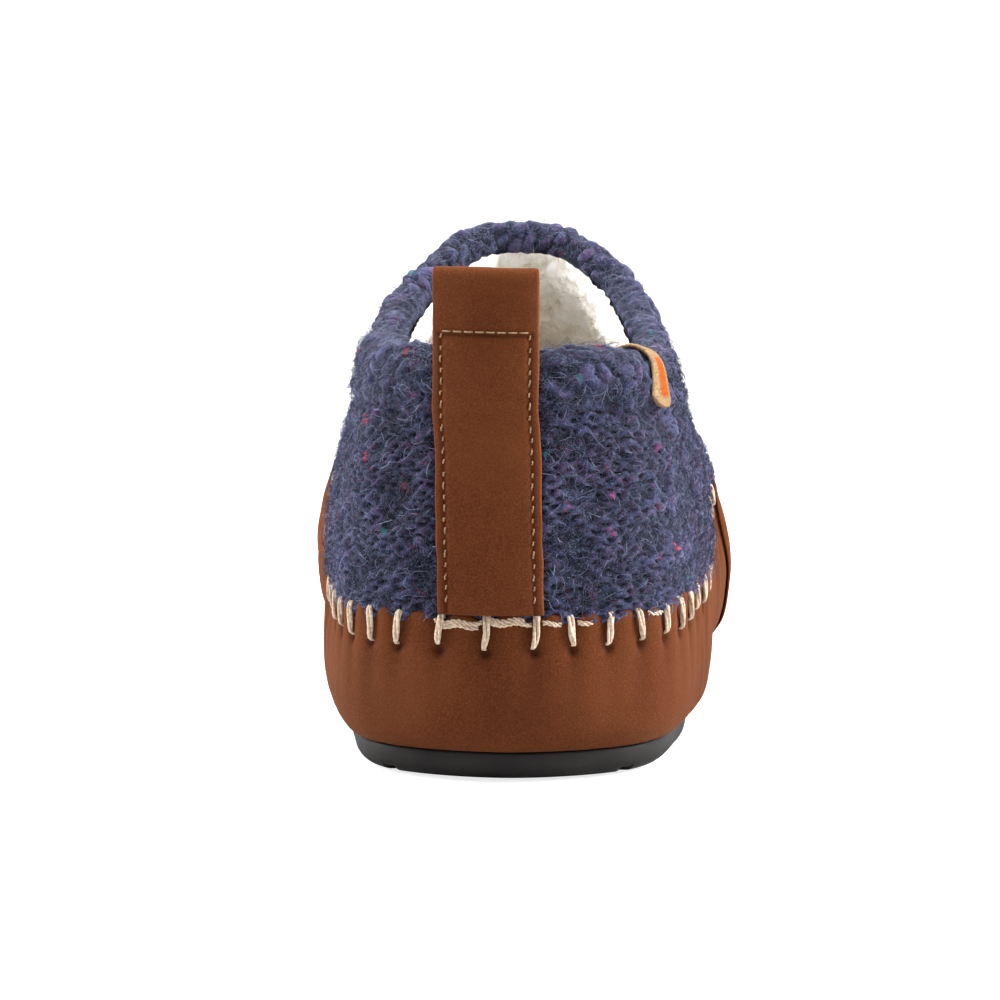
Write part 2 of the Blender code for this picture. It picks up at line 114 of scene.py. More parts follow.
# One rib a row, from the widest line of the suede, up over the seam, to the collar. out_x and out_y are
# its foot in plan, bulge_z is how high it stands widest. seam, shoulder and crest are each a share of
# the way in plan from foot to collar, and a height.
RIBS = [
    # out_x  out_y bulge_z  seam  seam_z shoulder  z     crest  z    collar_x  y      z
    (0.0,     0.0, 14.0,   0.15, 31.5,   0.22,   52.0,  0.60, 73.0,    0.0,   6.0,  87.0),
    (28.5,   12.0, 14.0,   0.05, 32.0,   0.12,   52.0,  0.50, 73.0,   21.0,  16.0,  86.5),
    (38.5,   45.0, 14.0,   0.05, 33.5,   0.14,   52.0,  0.60, 70.0,   28.8,  45.0,  82.0),
    (40.3,   98.0, 16.0,   0.08, 38.0,   0.36,   54.0,  0.80, 71.0,   30.5,  78.0,  82.0),
    (45.8,  154.0, 23.0,   0.25, 45.0,   0.52,   59.0,  0.86, 76.0,   24.5, 108.0,  91.0),
    (38.5,  205.0, 22.0,   0.17, 44.0,   0.40,   54.0,  0.70, 71.0,   15.5, 121.0,  98.5),
    (20.0,  240.0, 21.0,   0.16, 42.0,   0.34,   51.0,  0.64, 69.0,    7.5, 127.5, 101.8),
    (-9.0,  252.0, 20.0,   0.15, 41.0,   0.32,   49.0,  0.62, 68.0,    0.0, 129.0, 102.5),
    (-34.0, 241.0, 20.0,   0.16, 42.0,   0.33,   51.0,  0.63, 69.0,   -8.0, 127.5, 102.3),
    (-49.0, 208.0, 20.0,   0.16, 43.0,   0.38,   54.0,  0.67, 71.0,  -16.5, 121.0,  99.5),
    (-49.5, 168.0, 21.0,   0.21, 43.0,   0.48,   58.0,  0.76, 76.0,  -25.0, 108.0,  92.0),
    (-37.5, 102.0, 16.0,   0.06, 37.0,   0.28,   54.0,  0.72, 71.0,  -30.5,  78.0,  84.0),
    (-38.3,  45.0, 14.0,   0.05, 33.5,   0.14,   52.0,  0.62, 71.0,  -28.6,  45.0,  85.0),
    (-29.5,  12.0, 14.0,   0.05, 32.0,   0.14,   52.0,  0.52, 73.0,  -21.0,  16.0,  87.0),
]
FEATHER, CORNER, BULGE, SEAM, SHOULDER, CREST, COLLAR = 0.0, 0.35, 0.8, 1.7, 2.7, 3.7, 4.7
LEVELS = np.array([FEATHER, CORNER, BULGE, SEAM, SHOULDER, CREST, COLLAR])
FEATHER_Z, FEATHER_INSET = 5.8, 0.38
LENGTH, TOE_RISE, RISE_START = 252.0, 7.0, 178.0


def toe_spring(y):
    return TOE_RISE * np.clip((y - RISE_START) / (LENGTH - RISE_START), 0.0, None) ** 2


def rib_points():
    ribs = []
    for out_x, out_y, bulge_z, *shares, collar_x, collar_y, collar_z in RIBS:
        foot, collar = np.array([out_x, out_y]), np.array([collar_x, collar_y])
        spine = np.array([0.0, min(max(out_y, 40.0), 212.0)])
        inward = (spine - foot) / np.linalg.norm(spine - foot)
        quarter = 1.0 - math.sqrt(0.5)
        inset = bulge_z * FEATHER_INSET
        points = [
            (*(foot + inward * inset), FEATHER_Z),
            (*(foot + inward * inset * quarter), FEATHER_Z + (bulge_z - FEATHER_Z) * quarter),
            (*foot, bulge_z),
        ]
        for share, z in zip(shares[0::2], shares[1::2]):
            points.append((*(foot + (collar - foot) * share), z))
        points.append((*collar, collar_z))
        ribs.append(points)
    ribs = np.array(ribs)
    ribs[..., 2] += toe_spring(ribs[..., 1])
    return ribs


def slopes(points, knots, closed):
    """Tangents of a smooth curve through points, which lie along the first axis."""
    count = len(points)
    found = np.zeros_like(points)
    for i in range(count):
        if not closed and i in (0, count - 1):
            continue
        before = (knots[i] - knots[i - 1]) if i else (knots[count] - knots[count - 1])
        after = knots[i + 1] - knots[i]
        rise_before = (points[i] - points[i - 1]) / before
        rise_after = (points[(i + 1) % count] - points[i]) / after
        found[i] = (rise_before * after + rise_after * before) / (before + after)
    if not closed:
        found[0] = 1.5 * (points[1] - points[0]) / (knots[1] - knots[0]) - 0.5 * found[1]
        found[-1] = 1.5 * (points[-1] - points[-2]) / (knots[-1] - knots[-2]) - 0.5 * found[-2]
    return found


def between(p, p_slope, q, q_slope, span, t):
    return (
        (1 + 2 * t) * (1 - t) ** 2 * p
        + t * (1 - t) ** 2 * span * p_slope
        + t * t * (3 - 2 * t) * q
        + t * t * (t - 1) * span * q_slope
    )


def run_along(points):
    """How far a line has run at each of its points, which lie along the first axis."""
    step = np.linalg.norm(np.diff(points, axis=0), axis=-1)
    return np.concatenate([step[:1] * 0.0, np.cumsum(step, axis=0)])


RIB_POINTS = rib_points()
AROUND = run_along(RIB_POINTS[[*range(len(RIBS)), 0], 2, :2])
RIB_SLOPES = slopes(RIB_POINTS, AROUND, True)


def form(u, v):
    """Points of the slipper's outer form. u runs round it in millimetres, one value a column, from the
    heel's back by the outer side. v is each column's levels up the rib."""
    u = np.asarray(u, float) % AROUND[-1]
    v = np.broadcast_to(np.clip(v, FEATHER, COLLAR), (len(u), np.shape(v)[-1]))
    i = np.clip(np.searchsorted(AROUND, u, side="right") - 1, 0, len(RIBS) - 1)
    k = (i + 1) % len(RIBS)
    span = (AROUND[i + 1] - AROUND[i])[:, None, None]
    t = (u - AROUND[i])[:, None, None] / span
    rib = between(RIB_POINTS[i], RIB_SLOPES[i], RIB_POINTS[k], RIB_SLOPES[k], span, t)
    rise = np.moveaxis(slopes(np.moveaxis(rib, 1, 0), LEVELS, False), 0, 1)
    rise[:, 0] = (rib[:, 1] - rib[:, 0]) * [1.0, 1.0, 0.0] * 2.0 / (LEVELS[1] - LEVELS[0])
    j = np.clip(np.searchsorted(LEVELS, v, side="right") - 1, 0, len(LEVELS) - 2)
    span = (LEVELS[j + 1] - LEVELS[j])[..., None]
    t = (v - LEVELS[j])[..., None] / span
    row = np.arange(len(u))[:, None]
    return between(rib[row, j], rise[row, j], rib[row, j + 1], rise[row, j + 1], span, t)


def unit(vectors):
    return vectors / np.maximum(np.linalg.norm(vectors, axis=-1, keepdims=True), 1e-9)


def swung(outward, up, angle):
    """The direction at an angle in degrees from outward towards up."""
    a = math.radians(angle)
    return outward * math.cos(a) + up * math.sin(a)


def directions(u, v):
    """Outward, upward and forward directions on the form at u, v."""
    u = np.asarray(u, float)
    along = form(u + 0.5, v) - form(u - 0.5, v)
    up = form(u, np.clip(v, 0, COLLAR - 0.04) + 0.02) - form(u, np.clip(v, 0.04, COLLAR) - 0.02)
    return unit(np.cross(along, up)), unit(up), unit(along)


def level_line(u, level):
    """Points of the form at one level, at each u."""
    return form(u, np.full((len(u), 1), level))[:, 0]


def level_ways(u, level):
    """Outward, upward and forward directions at one level, at each u."""
    return [way[:, 0] for way in directions(u, np.full((len(u), 1), level))]


def stand(u, v, offset):
    """Points that stand off the form by an offset, which may differ from point to point."""
    return form(u, v) + directions(u, v)[0] * np.asarray(offset)[..., None]


def down_the_rib(u, count):
    """Levels from the collar's edge down, and how far below the edge each lies at each u."""
    v = np.linspace(COLLAR, FEATHER, count)
    return v, run_along(np.moveaxis(form(u, v), 1, 0)).T


def below_collar(u, drop):
    """The levels that lie given distances down the rib from the collar's edge."""
    v, far = down_the_rib(u, 240)
    drop = np.broadcast_to(drop, (len(u), np.shape(drop)[-1]))
    return np.array([np.interp(d, f, v) for d, f in zip(drop, far)])


def skin(name, points, finish, ring=False, given=None):
    """A sheet of quads shaped from a flat grid: points are columns round the shoe by rows up it. given
    names one number a vertex and holds its values, for the material to read."""
    columns, rows = points.shape[:2]
    bpy.ops.object.select_all(action="DESELECT")
    bpy.ops.mesh.primitive_grid_add(x_subdivisions=columns - 1, y_subdivisions=rows - 1, size=1.0)
    piece = bpy.context.object
    piece.name = name
    placed = (points + HEEL) * MM
    piece.data.vertices.foreach_set("co", placed.transpose(1, 0, 2).ravel())
    piece.data.materials.append(finish)
    if given:
        layer = piece.data.attributes.new(given[0], "FLOAT", "POINT")
        layer.data.foreach_set("value", given[1].T.ravel())
    if ring:
        bpy.ops.object.mode_set(mode="EDIT")
        bpy.ops.mesh.select_all(action="SELECT")
        bpy.ops.mesh.remove_doubles(threshold=1e-6)
        bpy.ops.object.mode_set(mode="OBJECT")
    bpy.ops.object.shade_smooth()
    return piece


def cloud(points, size, seed=0):
    """Smooth noise at each point, with features of about a size in millimetres."""
    flat = points.reshape(-1, 3) / size + seed * 17.3
    return np.array([noise.noise(Vector(p)) for p in flat]).reshape(points.shape[:-1])


def finish_nodes(name, roughness, sheen=0.0, sheen_tint=(1.0, 1.0, 1.0), sheen_roughness=0.4):
    """A new material with its shader and the piece's own coordinates."""
    made = bpy.data.materials.new(name)
    made.use_nodes = True
    shader = made.node_tree.nodes["Principled BSDF"]
    shader.inputs["Roughness"].default_value = roughness
    shader.inputs["Sheen Weight"].default_value = sheen
    shader.inputs["Sheen Tint"].default_value = (*sheen_tint, 1.0)
    shader.inputs["Sheen Roughness"].default_value = sheen_roughness
    place = made.node_tree.nodes.new("ShaderNodeTexCoord").outputs["Object"]
    return made, shader, place


def add_noise(place, scale, detail=3.0, roughness=0.55, distortion=0.0):
    node = place.id_data.nodes.new("ShaderNodeTexNoise")
    node.inputs["Scale"].default_value = scale
    node.inputs["Detail"].default_value = detail
    node.inputs["Roughness"].default_value = roughness
    node.inputs["Distortion"].default_value = distortion
    place.id_data.links.new(place, node.inputs["Vector"])
    return node.outputs["Fac"]


def read_given(shader, name):
    """The number that a piece's mesh gives at each vertex."""
    node = shader.id_data.nodes.new("ShaderNodeAttribute")
    node.attribute_name = name
    return node.outputs["Fac"]


def add_ramp(fac, stops):
    """Stops are a place and a colour each, or a place and one number for a grey."""
    node = fac.id_data.nodes.new("ShaderNodeValToRGB")
    ramp = node.color_ramp
    while len(ramp.elements) < len(stops):
        ramp.elements.new(0.5)
    for element, (place, colour) in zip(ramp.elements, stops):
        element.position = place
        element.color = (*colour, 1.0) if isinstance(colour, tuple) else (colour, colour, colour, 1.0)
    fac.id_data.links.new(fac, node.inputs["Fac"])
    return node.outputs["Color"]


def add_mix(fac, first, second, blend="MIX"):
    """Blends two colours. first is a socket, and fac and second are each a socket or a value."""
    tree = first.id_data
    node = tree.nodes.new("ShaderNodeMix")
    node.data_type = "RGBA"
    node.blend_type = blend
    node.clamp_result = False
    for value, socket in ((fac, node.inputs[0]), (first, node.inputs[6]), (second, node.inputs[7])):
        if isinstance(value, bpy.types.NodeSocket):
            tree.links.new(value, socket)
        elif isinstance(value, tuple):
            socket.default_value = (*value, 1.0)
        else:
            socket.default_value = value
    return node.outputs[2]


def add_bump(shader, layers):
    """Chains bumps, each a height, a strength and a distance in millimetres."""
    tree, last = shader.id_data, None
    for height, strength, distance in layers:
        node = tree.nodes.new("ShaderNodeBump")
        node.inputs["Strength"].default_value = strength
        node.inputs["Distance"].default_value = distance * MM
        tree.links.new(height, node.inputs["Height"])
        if last is not None:
            tree.links.new(last, node.inputs["Normal"])
        last = node.outputs["Normal"]
    tree.links.new(last, shader.inputs["Normal"])


def paint(shader, tone):
    shader.id_data.links.new(tone, shader.inputs["Base Color"])


rubber, shader, place = finish_nodes("black_rubber", 0.55)
pebble = add_noise(place, 1500.0, 2.0)
dust = add_noise(place, 60.0, 4.0)
tone = add_ramp(dust, [(0.3, (0.010, 0.0085, 0.0085)), (0.7, (0.022, 0.019, 0.018))])
paint(shader, tone)
shader.inputs["Specular IOR Level"].default_value = 0.22
add_bump(shader, [(pebble, 0.35, 0.12)])

SOLE_OVERHANG = 0.7
ARCH_START, ARCH_END, ARCH_HEIGHT = 78.0, 136.0, 1.6
GROOVE_WIDTH, GROOVE_DEPTH = 2.0, 1.2
GROOVES = [16.0, 27.0, 38.0, 49.0, 60.0, 146.0, 157.0, 168.0, 179.0, 190.0, 201.0, 212.0]
GROOVE_WALL = 0.08     # how far a groove's side leans
SPINE_START, SPINE_END = 12.0, 236.0  # the sole's middle line, which its underside closes on
# The side's profile: how far in from its widest line, and how high.
PROFILE = [
    (6.0, 5.4), (2.0, 5.5), (0.45, 5.5), (0.12, 5.35), (0.0, 5.0), (0.0, 3.6),
    (0.07, 2.6), (0.3, 1.7), (0.75, 0.95), (1.4, 0.4), (2.1, 0.1), (2.9, 0.0),
]


def sole_line(u, inset):
    """The sole's outline in plan, set in from its widest line."""
    inward = -unit(level_ways(u, CORNER)[0] * [1, 1, 0])
    return level_line(u, FEATHER) + inward * (inset - SOLE_OVERHANG)


u = np.linspace(0.0, AROUND[-1], 421)
line = sole_line(u, PROFILE[-1][0])[:, 1]
tip = int(np.argmax(line))
# Columns at each groove's edges, on both sides of the sole, so that its walls are straight.
cuts = []
for y in GROOVES:
    for wall in (0.0, GROOVE_WALL):
        for side in (-1.0, 1.0):
            edge_y = y + side * (GROOVE_WIDTH / 2 - wall)
            cuts.append(np.interp(edge_y, line[: tip + 1], u[: tip + 1]))
            cuts.append(np.interp(edge_y, line[tip:][::-1], u[tip:][::-1]))
u = np.sort(np.concatenate([u, cuts]))
line = sole_line(u, PROFILE[-1][0])[:, 1]
rings = []
for inset, height in PROFILE:
    ring = sole_line(u, inset)
    ring[:, 2] = height + toe_spring(ring[:, 1])
    rings.append(ring)
for share in np.linspace(0.0, 1.0, 16)[1:]:
    spine = np.stack([ring[:, 0] * 0.0, np.clip(ring[:, 1], SPINE_START, SPINE_END), ring[:, 2]], 1)
    flat = ring * (1 - share) + spine * share
    flat[:, 2] = toe_spring(flat[:, 1])
    rings.append(flat)
points = np.stack(rings[::-1], 1)
lift_share = np.clip((points[..., 1] - ARCH_START) / (ARCH_END - ARCH_START), 0.0, 1.0)
low = np.clip(1.0 - (points[..., 2] - toe_spring(points[..., 1])) / 3.0, 0.0, 1.0)
points[..., 2] += ARCH_HEIGHT * np.sin(math.pi * lift_share) ** 2 * low
in_groove = np.abs(line[:, None] - GROOVES).min(1) < GROOVE_WIDTH / 2 - GROOVE_WALL / 2
floor_z = GROOVE_DEPTH + toe_spring(line)
points[in_groove, :, 2] = np.maximum(points[in_groove, :, 2], floor_z[in_groove, None])
outsole = skin("rubber_outsole", points, rubber, ring=True)
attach(outsole, "root")
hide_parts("outsole")

# The suede foxing: a band of brown suede round the heel and both sides. It turns in under the foot, and
# its raw top edge is whip-stitched to the knit, which gathers it between the stitches.

SEAM_STEP = 9.6  # from one whip stitch to the next
HEEL_STITCHES = [-58.0, -50.0, -43.0, -36.5, -30.0, -23.0, -14.0, -4.6]
HEEL_STITCHES += [5.2, 12.8, 20.5, 28.0, 35.5, 43.0, 51.0, 59.0]
HOLE_DROP = 5.3  # how far below the edge the cord goes in
SUEDE_ROUND = 0.75  # the raw edge's radius

whole = np.linspace(0.0, AROUND[-1], 1601)
SEAM_ALONG = run_along(level_line(whole, SEAM))
SEAM_TOTAL = SEAM_ALONG[-1]


def along_seam(u):
    """Distance along the seam at u, counted both ways from the middle of the heel."""
    u = np.asarray(u, float)
    return np.interp(u % AROUND[-1], whole, SEAM_ALONG) - np.where(u < 0, SEAM_TOTAL, 0.0)


def at_seam(distance):
    """The u at a distance along the seam."""
    return np.interp(np.asarray(distance, float) % SEAM_TOTAL, SEAM_ALONG, whole)


stitches = list(HEEL_STITCHES)
gap = SEAM_TOTAL + HEEL_STITCHES[0] - HEEL_STITCHES[-1]
count = round(gap / SEAM_STEP)
stitches += [HEEL_STITCHES[-1] + gap * k / count for k in range(1, count)]
STITCHES = np.sort(np.array(stitches) % SEAM_TOTAL)


def stitch_phase(u):
    """0 at a whip stitch, 1 at the next."""
    d = along_seam(u) % SEAM_TOTAL
    ring = np.concatenate([[STITCHES[-1] - SEAM_TOTAL], STITCHES, [STITCHES[0] + SEAM_TOTAL]])
    k = np.searchsorted(ring, d, side="right") - 1
    return (d - ring[k]) / (ring[k + 1] - ring[k])


def smooth(x, low, high):
    t = np.clip((x - low) / (high - low), 0.0, 1.0)
    return t * t * (3 - 2 * t)


def u_where_y(y, outer_side):
    """The u whose widest line lies y millimetres from the heel, on one side of the slipper."""
    u = np.linspace(0.0 if outer_side else AROUND[-1], AROUND[7], 600)
    return float(np.interp(y, level_line(u, BULGE)[:, 1], u))


def suede_sheet(u, base, rows=58):
    """The suede at columns u: turned in under the foot, up the side, over its raw edge and down behind.
    base is each column's offset from the form. Returns points and a painted shade for each: darker in the
    creases, the stitch holes and where the edge turns down behind, lighter on the crests."""
    middle = np.concatenate([np.linspace(0.0, 0.9, 20), np.linspace(0.9, SEAM, rows - 20)[1:]])
    middle = np.broadcast_to(middle, (len(u), len(middle)))
    points = form(u, middle)
    outward, up, along = directions(u, middle)
    edge = points[:, -1:, :]
    drop = np.linalg.norm(edge - points, axis=2)
    phase = stitch_phase(u)[:, None]
    scallop = 0.5 - 0.5 * np.cos(2 * math.pi * phase)
    pull = np.exp(-drop / 6.5)
    place_y = points[..., 1]
    gathered = smooth(place_y, 14.0, 60.0)
    laid_flat = np.stack([np.broadcast_to(along_seam(u)[:, None], drop.shape), drop, drop * 0.0], -1)
    fold = cloud(laid_flat * [1.0, 0.16, 0.0], 3.1, 3)
    broad = cloud(laid_flat * [1.0, 0.45, 0.0], 17.0, 5)
    calm = 0.80 + 0.85 * smooth(place_y, 28.0, 75.0)
    # Drawn in at each stitch, creased below it, and softly uneven lower down.
    relief = (scallop ** 0.7 - 0.62) * 1.35 * pull * calm
    fade = np.exp(-drop / (11.0 + 9.0 * gathered)) * smooth(drop, 0.0, 2.5)
    relief += fold * (0.12 + 1.25 * gathered) * fade
    relief += broad * 0.55 * smooth(drop, 2.0, 12.0) * smooth(middle, 0.15, 0.9)
    beside = np.minimum(phase, 1 - phase) * SEAM_STEP * 0.85
    hole = np.exp(-(beside ** 2 + (drop - HOLE_DROP) ** 2) / 0.9)
    # Past the heel the outer side lies flatter against the foot.
    flatter = smooth(place_y, 60.0, 110.0) * (points[..., 0] > 0.0)
    offset = base[:, None] * smooth(middle, 0.0, 0.5) + relief + 0.15 - 0.9 * hole - 0.9 * flatter
    points = points + outward * offset[..., None]
    rise = (scallop ** 0.8) * (0.35 + 1.25 * calm) + 0.9 - 0.8 * calm
    points = points + up * (rise * np.exp(-drop / 4.0))[..., None]
    # Painted shade: darker where the suede sinks between stitches and at the holes, lighter on its crests.
    painted_shading = np.clip(0.52 + relief * 0.6 - 0.8 * hole, 0.0, 0.85)
    # The raw edge: rounded over, and down between suede and knit.
    crown, out_way, up_way = points[:, -1], outward[:, -1], up[:, -1]
    rolled = []
    for angle, lower in ((35, 0.0), (80, 0.0), (125, 0.0), (165, 0.0), (180, 1.2), (180, 3.5)):
        round_edge = (swung(out_way, up_way, angle) - out_way) * SUEDE_ROUND
        rolled.append(crown + round_edge - up_way * lower)
    side = unit(np.cross(along[:, 0] * [1, 1, 0], [0, 0, 1]))
    turned = []
    for inset in (7.0, 3.5, 1.2):
        low = points[:, 0] - side * inset
        low[:, 2] = FEATHER_Z - 0.05 + toe_spring(low[:, 1])
        turned.append(low)
    points = np.concatenate([np.stack(turned, 1), points, np.stack(rolled, 1)], axis=1)
    # Painted shade: the edge's turn down between suede and knit is painted darker.
    last = painted_shading[:, -1:]
    below, over, behind = painted_shading[:, :1].repeat(3, 1), last.repeat(2, 1), last.repeat(4, 1) * 0.3
    painted_shading = np.concatenate([below, painted_shading, over, behind], axis=1)
    return points, painted_shading


suede, shader, place = finish_nodes("brown_suede", 0.95, 0.10, (0.9, 0.42, 0.2), 0.35)
nap = add_noise(place, 2600.0, 4.0, 0.75)
brushed = add_noise(place, 45.0, 3.0, 0.5, 0.8)
fine = add_noise(place, 3200.0, 2.0, 0.6)
browns = [(0.32, (0.070, 0.018, 0.005)), (0.52, (0.112, 0.0305, 0.0088)), (0.72, (0.175, 0.053, 0.0175))]
tone = add_ramp(nap, browns)
tone = add_mix(add_ramp(brushed, [(0.30, 0.0), (0.75, 0.45)]), tone, (0.155, 0.046, 0.0145))
# Painted shade and highlight: darker in the creases of the gathers, in the stitch holes and on turned edges,
# lighter on the crests; the tab's raw edges are paler suede.
crease_shade_and_pale_edges = [(0.0, (0.28, 0.25, 0.24)), (0.45, (0.85, 0.83, 0.82)), (0.8, 1.12), (1.0, (1.75, 1.85, 2.0))]
tone = add_mix(0.75, tone, add_ramp(read_given(shader, "suede_shade_and_raw_edge"), crease_shade_and_pale_edges), "MULTIPLY")
paint(shader, tone)
shader.inputs["Specular IOR Level"].default_value = 0.12
add_bump(shader, [(nap, 0.4, 0.4), (fine, 0.35, 0.14)])

# Where the vamp starts on each side, and how far the foxing runs on under it.
VAMP_OUTER, VAMP_INNER, LAP = u_where_y(138.0, True), u_where_y(142.0, False), 4.0
u = np.linspace(VAMP_INNER - AROUND[-1] - LAP, VAMP_OUTER + LAP, 500)
points, painted_shading = suede_sheet(u, np.zeros(len(u)))
suede_foxing = skin("suede_foxing_band", points, suede, given=("suede_shade_and_raw_edge", painted_shading))
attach(suede_foxing, "root")
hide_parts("suede_foxing")

# The suede vamp: the wall round the toe, of the same suede. Its two back edges are turned under and
# stand a good millimetre proud of the foxing, and its top edge is gathered into the same seam.

u = np.linspace(VAMP_OUTER, VAMP_INNER, 350)
from_edge = np.minimum(u - VAMP_OUTER, VAMP_INNER - u)
points, painted_shading = suede_sheet(u, 1.2 * (1.0 - smooth(from_edge, 0.0, 15.0)) - 0.3)
inner, _ = suede_sheet(u[[0, -1]], np.full(2, 0.2))
turn_under = []
for end, next_in in ((0, 1), (-1, -2)):
    backward = unit(points[end] - points[next_in]) * 0.9
    turned = []
    for share, out in ((0.2, 0.75), (0.5, 1.0), (0.8, 0.75), (1.0, 0.0)):
        turned.append(points[end] * (1 - share) + inner[end] * share + backward * out)
    turn_under.append(np.stack(turned))
points = np.concatenate([turn_under[0][::-1], points, turn_under[1]])
# Painted shade: the turned-under back edges are painted darker.
shade = np.array([0.1, 0.2, 0.3, 0.45])[:, None] * np.ones((1, points.shape[1]))
painted_shading = np.concatenate([shade, painted_shading, shade[::-1]])
suede_vamp = skin("suede_vamp_wall", points, suede, given=("suede_shade_and_raw_edge", painted_shading))
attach(suede_vamp, "root")
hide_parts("suede_vamp")

# The whip stitches: soft cream cord of three strands, from a hole in the suede up over its raw edge into
# the knit. Between some of them, at the heel, the cord runs along the edge.

STRAND = 0.35  # a strand's radius


def tubes(name, paths, radii, finish, sides):
    """One mesh of many thin tubes. paths are tubes by steps by 3. Two sides make flat ribbons."""
    along = unit(np.gradient(paths, axis=1))
    aside = unit(np.cross(along, unit(np.roll(along[:, :1], 1, axis=2) + [0.31, 0.17, 0.53])))
    third = np.cross(along, aside)
    rings = []
    for k in range(sides):
        rings.append(paths + swung(aside, third, 360.0 * k / sides) * radii[..., None])
    points = np.stack(rings, 2)
    count, steps = points.shape[:2]
    number = np.arange(count * steps * sides).reshape(count, steps, sides)
    faces = []
    for k in range(sides if sides > 2 else 1):
        n = (k + 1) % sides
        quad = np.stack([number[:, :-1, k], number[:, 1:, k], number[:, 1:, n], number[:, :-1, n]], -1)
        faces.append(quad.reshape(-1, 4))
    mesh = bpy.data.meshes.new(name)
    mesh.from_pydata(((points.reshape(-1, 3) + HEEL) * MM).tolist(), [], np.concatenate(faces).tolist())
    mesh.materials.append(finish)
    mesh.polygons.foreach_set("use_smooth", [True] * len(mesh.polygons))
    piece = bpy.data.objects.new(name, mesh)
    bpy.context.collection.objects.link(piece)
    return piece


cord, shader, place = finish_nodes("cream_cord", 0.8, 0.25, (1.0, 0.95, 0.85), 0.4)
fluff = add_noise(place, 1600.0, 4.0, 0.7)
soil = add_noise(place, 170.0, 3.0)
creams = [(0.30, (0.34, 0.21, 0.13)), (0.5, (0.66, 0.51, 0.37)), (0.7, (0.90, 0.80, 0.66))]
tone = add_ramp(fluff, creams)
tone = add_mix(add_ramp(soil, [(0.45, 0.0), (0.75, 0.5)]), tone, (0.38, 0.23, 0.15))
paint(shader, tone)
add_bump(shader, [(fluff, 0.5, 0.2)])

# How a stitch lies at its place: outward and upward distances from the edge of the suede.
STITCH_OUT = np.array([-1.1, -0.30, 0.25, 0.45, 0.55, 0.62, 0.68, 0.70, 0.60, 0.25, -0.40, -1.20])
STITCH_UP = np.array([-5.5, -5.4, -5.05, -4.20, -3.20, -2.20, -1.20, -0.20, 0.60, 1.10, 1.15, 0.60])
places_u = at_seam(STITCHES)
edge = level_line(places_u, SEAM)
outward, up, along = level_ways(places_u, SEAM - 0.12)
signed = np.where(STITCHES > SEAM_TOTAL / 2, STITCHES - SEAM_TOTAL, STITCHES)
slant = 0.10 * np.sin(STITCHES * 2.1)
slant += 0.28 * smooth(signed, 10.0, 60.0) - 0.16 * smooth(-signed, 10.0, 60.0)
bow = 0.35 * np.sin(STITCHES * 1.3 + 0.7) + 0.5 * smooth(-signed, 15.0, 55.0)
tall = 0.92 + 0.10 * np.sin(STITCHES * 3.7)
sunk = smooth(edge[:, 1], 28.0, 75.0)
spread = (0.50 + 0.50 * smooth(STITCH_UP, -5.4, -3.6))[None, :]
paths = []
for strand in range(3):
    turn_at = strand * 2 * math.pi / 3 + np.linspace(0.0, 3.4, len(STITCH_UP))[None, :] + STITCHES[:, None]
    swing = bow[:, None] * np.cos((STITCH_UP + 1.8) / 3.9 * 1.4)
    sideways = swing - slant[:, None] * (STITCH_UP + 1.5) + 0.45 * spread * np.cos(turn_at)
    outgoing = STITCH_OUT[None, :] + 0.28 * spread * np.sin(turn_at) - 0.5 * sunk[:, None]
    upgoing = (STITCH_UP[None, :] + 0.9) * tall[:, None]
    path = edge[:, None] + along[:, None] * sideways[..., None]
    paths.append(path + outward[:, None] * outgoing[..., None] + up[:, None] * upgoing[..., None])
paths = np.concatenate(paths)
thickness = np.broadcast_to(STRAND * (0.70 + 0.30 * spread), paths.shape[:2])
whip_stitches = tubes("whip_stitches", paths, thickness, cord, 6)
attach(whip_stitches, "root")

# Where the cord runs along the edge: its start and end in millimetres along the seam, and its height.
RUNS = [(-15.0, -5.2, 0.9), (-13.5, -6.0, 0.1), (-4.2, 4.6, 0.8), (-3.6, 3.2, 1.5)]
RUNS += [(6.8, 10.6, 0.7), (14.0, 17.5, 0.6), (30.0, 34.5, 0.9)]
paths = []
for start, end, height in RUNS:
    spots = np.linspace(start, end, 14)
    seam_u = np.where(spots < 0, at_seam(spots) - AROUND[-1], at_seam(spots))
    line = level_line(seam_u, SEAM)
    out_way, up_way, _ = level_ways(seam_u, SEAM - 0.12)
    sag = np.sin(np.linspace(0, math.pi, 14))
    for strand in range(3):
        twist = spots * 1.9 + strand * 2 * math.pi / 3
        rise = height - 0.25 + 0.25 * np.sin(spots * 1.1) + 0.33 * np.cos(twist)
        out = 0.45 * sag + 0.26 * np.sin(twist)
        paths.append(line + out_way * out[:, None] + up_way * rise[:, None])
paths = np.array(paths)
edge_cord = tubes("edge_cord", paths, np.full(paths.shape[:2], STRAND * 0.68), cord, 6)
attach(edge_cord, "root")

# The knitted upper: felted navy tweed wool in thick purl rows, with flecks of red and green. At the
# collar it folds over in a soft roll whose rows cross the edge.

ROLL = 4.1         # the roll's radius
BAND = 14.0        # how far the folded band reaches down outside
ROW = 2.9          # from one purl row to the next
ROW_COUNT = 62
STITCH_WIDTH = 4.1
RIB_WIDTH = 4.3    # of the soft ribs that cross the band
TAB_CENTRE_X, TAB_LEAN, TAB_WIDTH = -3.4, -1.2, 21.0


def collar_roll(u):
    """The middle of the roll and its outward and upward directions, at each u."""
    v = below_collar(u, np.array([ROLL]))
    outward, up, _ = directions(u, v)
    return (form(u, v) + outward * (0.9 - ROLL))[:, 0], outward[:, 0], up[:, 0]


